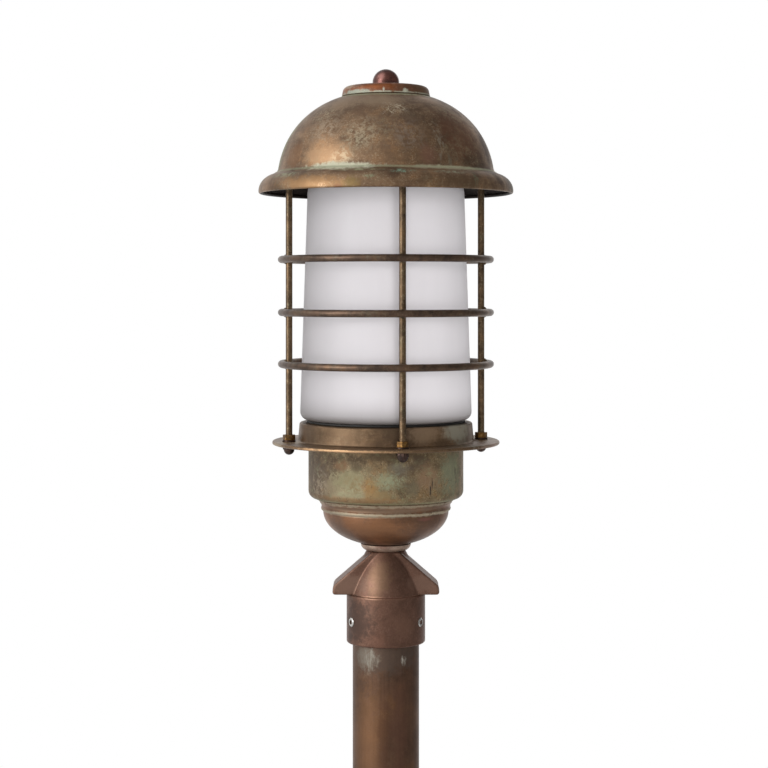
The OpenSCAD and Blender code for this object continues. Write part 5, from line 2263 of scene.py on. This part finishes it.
@dataclass
class Studio:
    """Floor, world, lamps and camera.

    Args:
        away: distance of the camera from the lantern's axis.
        eye: height of the camera.
        lens: focal length.
        sensor: width of the sensor.
        axis_pixel: column of the lantern's axis in the photograph.
        level_pixel: row of the horizon in the photograph.
        soft_light: strength of the even light from all round.
        room_left: what metal sees at its left.
        room_right: what metal sees at its right.
        window: strength of the broad window that metal sees at its upper left.
        window_way: direction of that window.
        floor_out: radius of the floor.
        floor_fades: distances between which the floor fades into white.
        floor_pale: share of the light that the floor returns.
        floor_room: how much of the room metal sees in the floor, and how much plain white.
        key: the lamp that metal reflects at its left.
        fill: the lamp that lights matt surfaces from the camera's side, so that the rods
            hide their own shadows on the glass.
        aim: height that both lamps face.
    """

    away: float = 1629.0
    eye: float = 799.7
    lens: float = 84.4
    sensor: float = 36.0
    axis_pixel: float = 385.9
    level_pixel: float = 290.0
    soft_light: float = 0.58
    room_left: float = 0.82
    room_right: float = 0.17
    window: float = 1.0
    window_way: tuple[float, float, float] = (-0.72, -0.39, 0.57)
    floor_out: float = 30000.0
    floor_fades: tuple[float, float] = (350.0, 1100.0)
    floor_pale: float = 0.86
    floor_room: tuple[float, float] = (0.8, 0.2)
    key: Softbox = Softbox("key_softbox", (-2000, -1550, 1200), 1450, 28.5, spreads=False)
    fill: Softbox = Softbox("fill_softbox", (350, -2400, 800), 1700, 31.5, shows=False)
    aim: float = 780.0

    # Where the room's light changes, as parts of a direction: from left to right, from the
    # window's edge to its middle, and towards the back
    SIDES = {"i1": -1.0, "i2": 0.85}
    PANE = {"i1": 0.6, "i2": 1.0}
    BACK = {"i1": 0.6, "i2": 0.9}
    WHITE = (1.0, 1.0, 1.0, 1.0)

    def build(self) -> None:
        """Makes the whole studio."""
        self.build_camera()
        self.build_floor()
        self.build_world()
        self.key.build(self.aim)
        self.fill.build(self.aim)

    def build_camera(self) -> None:
        """Makes a level camera whose frame is shifted up like the photograph's."""
        data = bpy.data.cameras.new("camera")
        data.lens = self.lens
        data.sensor_width = self.sensor
        scale = self.away / (self.lens / self.sensor * PICTURE)
        data.shift_y = -(PICTURE / 2 - self.level_pixel) / PICTURE
        data.clip_end = 100.0
        camera = bpy.data.objects.new("camera", data)
        side = -(self.axis_pixel - PICTURE / 2) * scale
        camera.location = (side * MM, -self.away * MM, self.eye * MM)
        camera.rotation_euler = (math.pi / 2, 0, 0)
        bpy.context.scene.collection.objects.link(camera)
        bpy.context.scene.camera = camera

    def build_floor(self) -> None:
        """Makes a pale floor that keeps the shadow and fades into the white behind."""
        mesh = bmesh.new()
        bmesh.ops.create_circle(mesh, cap_ends=True, segments=96, radius=self.floor_out * MM)
        floor = finished(mesh, "floor")
        made = empty_material("pale_floor")
        add = partial(add_node, made.node_tree)
        camera, glossy, through = self.rays(add)
        place = add("TexCoord").outputs["Object"]
        away = add("VectorMath", {"operation": "LENGTH"}, i0=place).outputs["Value"]
        near, gone = (distance * MM for distance in self.floor_fades)
        far = add("MapRange", SOFT_STEP, Value=away, i1=near, i2=gone)
        seen = add("Math", LARGER, i0=add("Math", LARGER, i0=camera, i1=glossy), i1=through)
        share = add("Math", TIMES, i0=far, i1=seen)
        way = add("VectorMath", {"operation": "NORMALIZE"}, i0=place).outputs["Vector"]
        light, white = self.floor_room
        room = self.room_light(add, way)
        room = add("Math", {"operation": "MULTIPLY_ADD"}, i0=room, i1=light, i2=white)
        level = add("Mix", i0=glossy, i2=1.0, i3=room)
        pale = add("BsdfDiffuse", Color=(self.floor_pale,) * 3 + (1.0,))
        glow = add("Emission", Color=self.WHITE, Strength=level)
        add("OutputMaterial", Surface=add("MixShader", i0=share, i1=pale, i2=glow))
        floor.data.materials.append(made)

    def rays(self, add: Callable[..., bpy.types.Node]) -> list[Socket]:
        """What kind of ray looks.

        Args:
            add: adds a node to the tree.

        Returns:
            Sockets that are one for a camera ray, a glossy ray and a transmission ray.
        """
        path = add("LightPath")
        return [path.outputs[f"Is {kind} Ray"] for kind in ("Camera", "Glossy", "Transmission")]

    def room_light(self, add: Callable[..., bpy.types.Node], way: Socket) -> bpy.types.Node:
        """Light that metal sees in a direction: white behind, and darker to the right.

        Args:
            add: adds a node to the tree.
            way: the direction.

        Returns:
            The node that holds its strength.
        """
        axes = add("SeparateXYZ", Vector=way)
        left, right = self.room_left, self.room_right
        side = add("MapRange", SOFT_STEP, Value=axes.outputs[0], i3=left, i4=right, **self.SIDES)
        facing = add("VectorMath", {"operation": "DOT_PRODUCT"}, i0=way, i1=self.window_way)
        facing = facing.outputs["Value"]
        pane = add("MapRange", SOFT_STEP, Value=facing, i4=self.window, **self.PANE)
        room = add("Math", PLUS, i0=side, i1=pane)
        behind = add("MapRange", SOFT_STEP, Value=axes.outputs[1], **self.BACK)
        return add("Mix", i0=behind, i2=room, i3=1.0)

    def build_world(self) -> None:
        """Makes a white background, and a room that is darker to the right.

        The camera and glass see plain white, and metal sees it behind the lantern and the
        room elsewhere. An even soft light falls from all round.
        """
        world = bpy.data.worlds.new("studio")
        bpy.context.scene.world = world
        world.use_nodes = True
        world.cycles.sampling_method = "NONE"
        world.node_tree.nodes.clear()
        add = partial(add_node, world.node_tree)
        camera, glossy, through = self.rays(add)
        room = self.room_light(add, add("TexCoord").outputs["Generated"])
        light = add("Mix", i0=glossy, i2=self.soft_light, i3=room)
        seen = add("Math", LARGER, i0=camera, i1=through)
        light = add("Mix", i0=seen, i2=light, i3=1.0)
        around = add("Background", Color=self.WHITE, Strength=light)
        add("OutputWorld", Surface=around)
        bpy.context.scene.view_settings.view_transform = "Standard"


def main() -> None:
    """Builds the lantern's looks and the studio."""
    logging.basicConfig(level=logging.INFO, format="%(name)s: %(message)s")
    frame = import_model()
    dresser = Dresser()
    Hood(dresser).build()
    Cage(dresser).build()
    GlassUnit(dresser).build()
    LampBody(dresser).build()
    PostCap(dresser).build()
    SetScrews(dresser).build()
    Post(dresser).build()
    Inside(dresser).build(frame["nodes"])
    Studio().build()


if __name__ == "__main__":
    main()
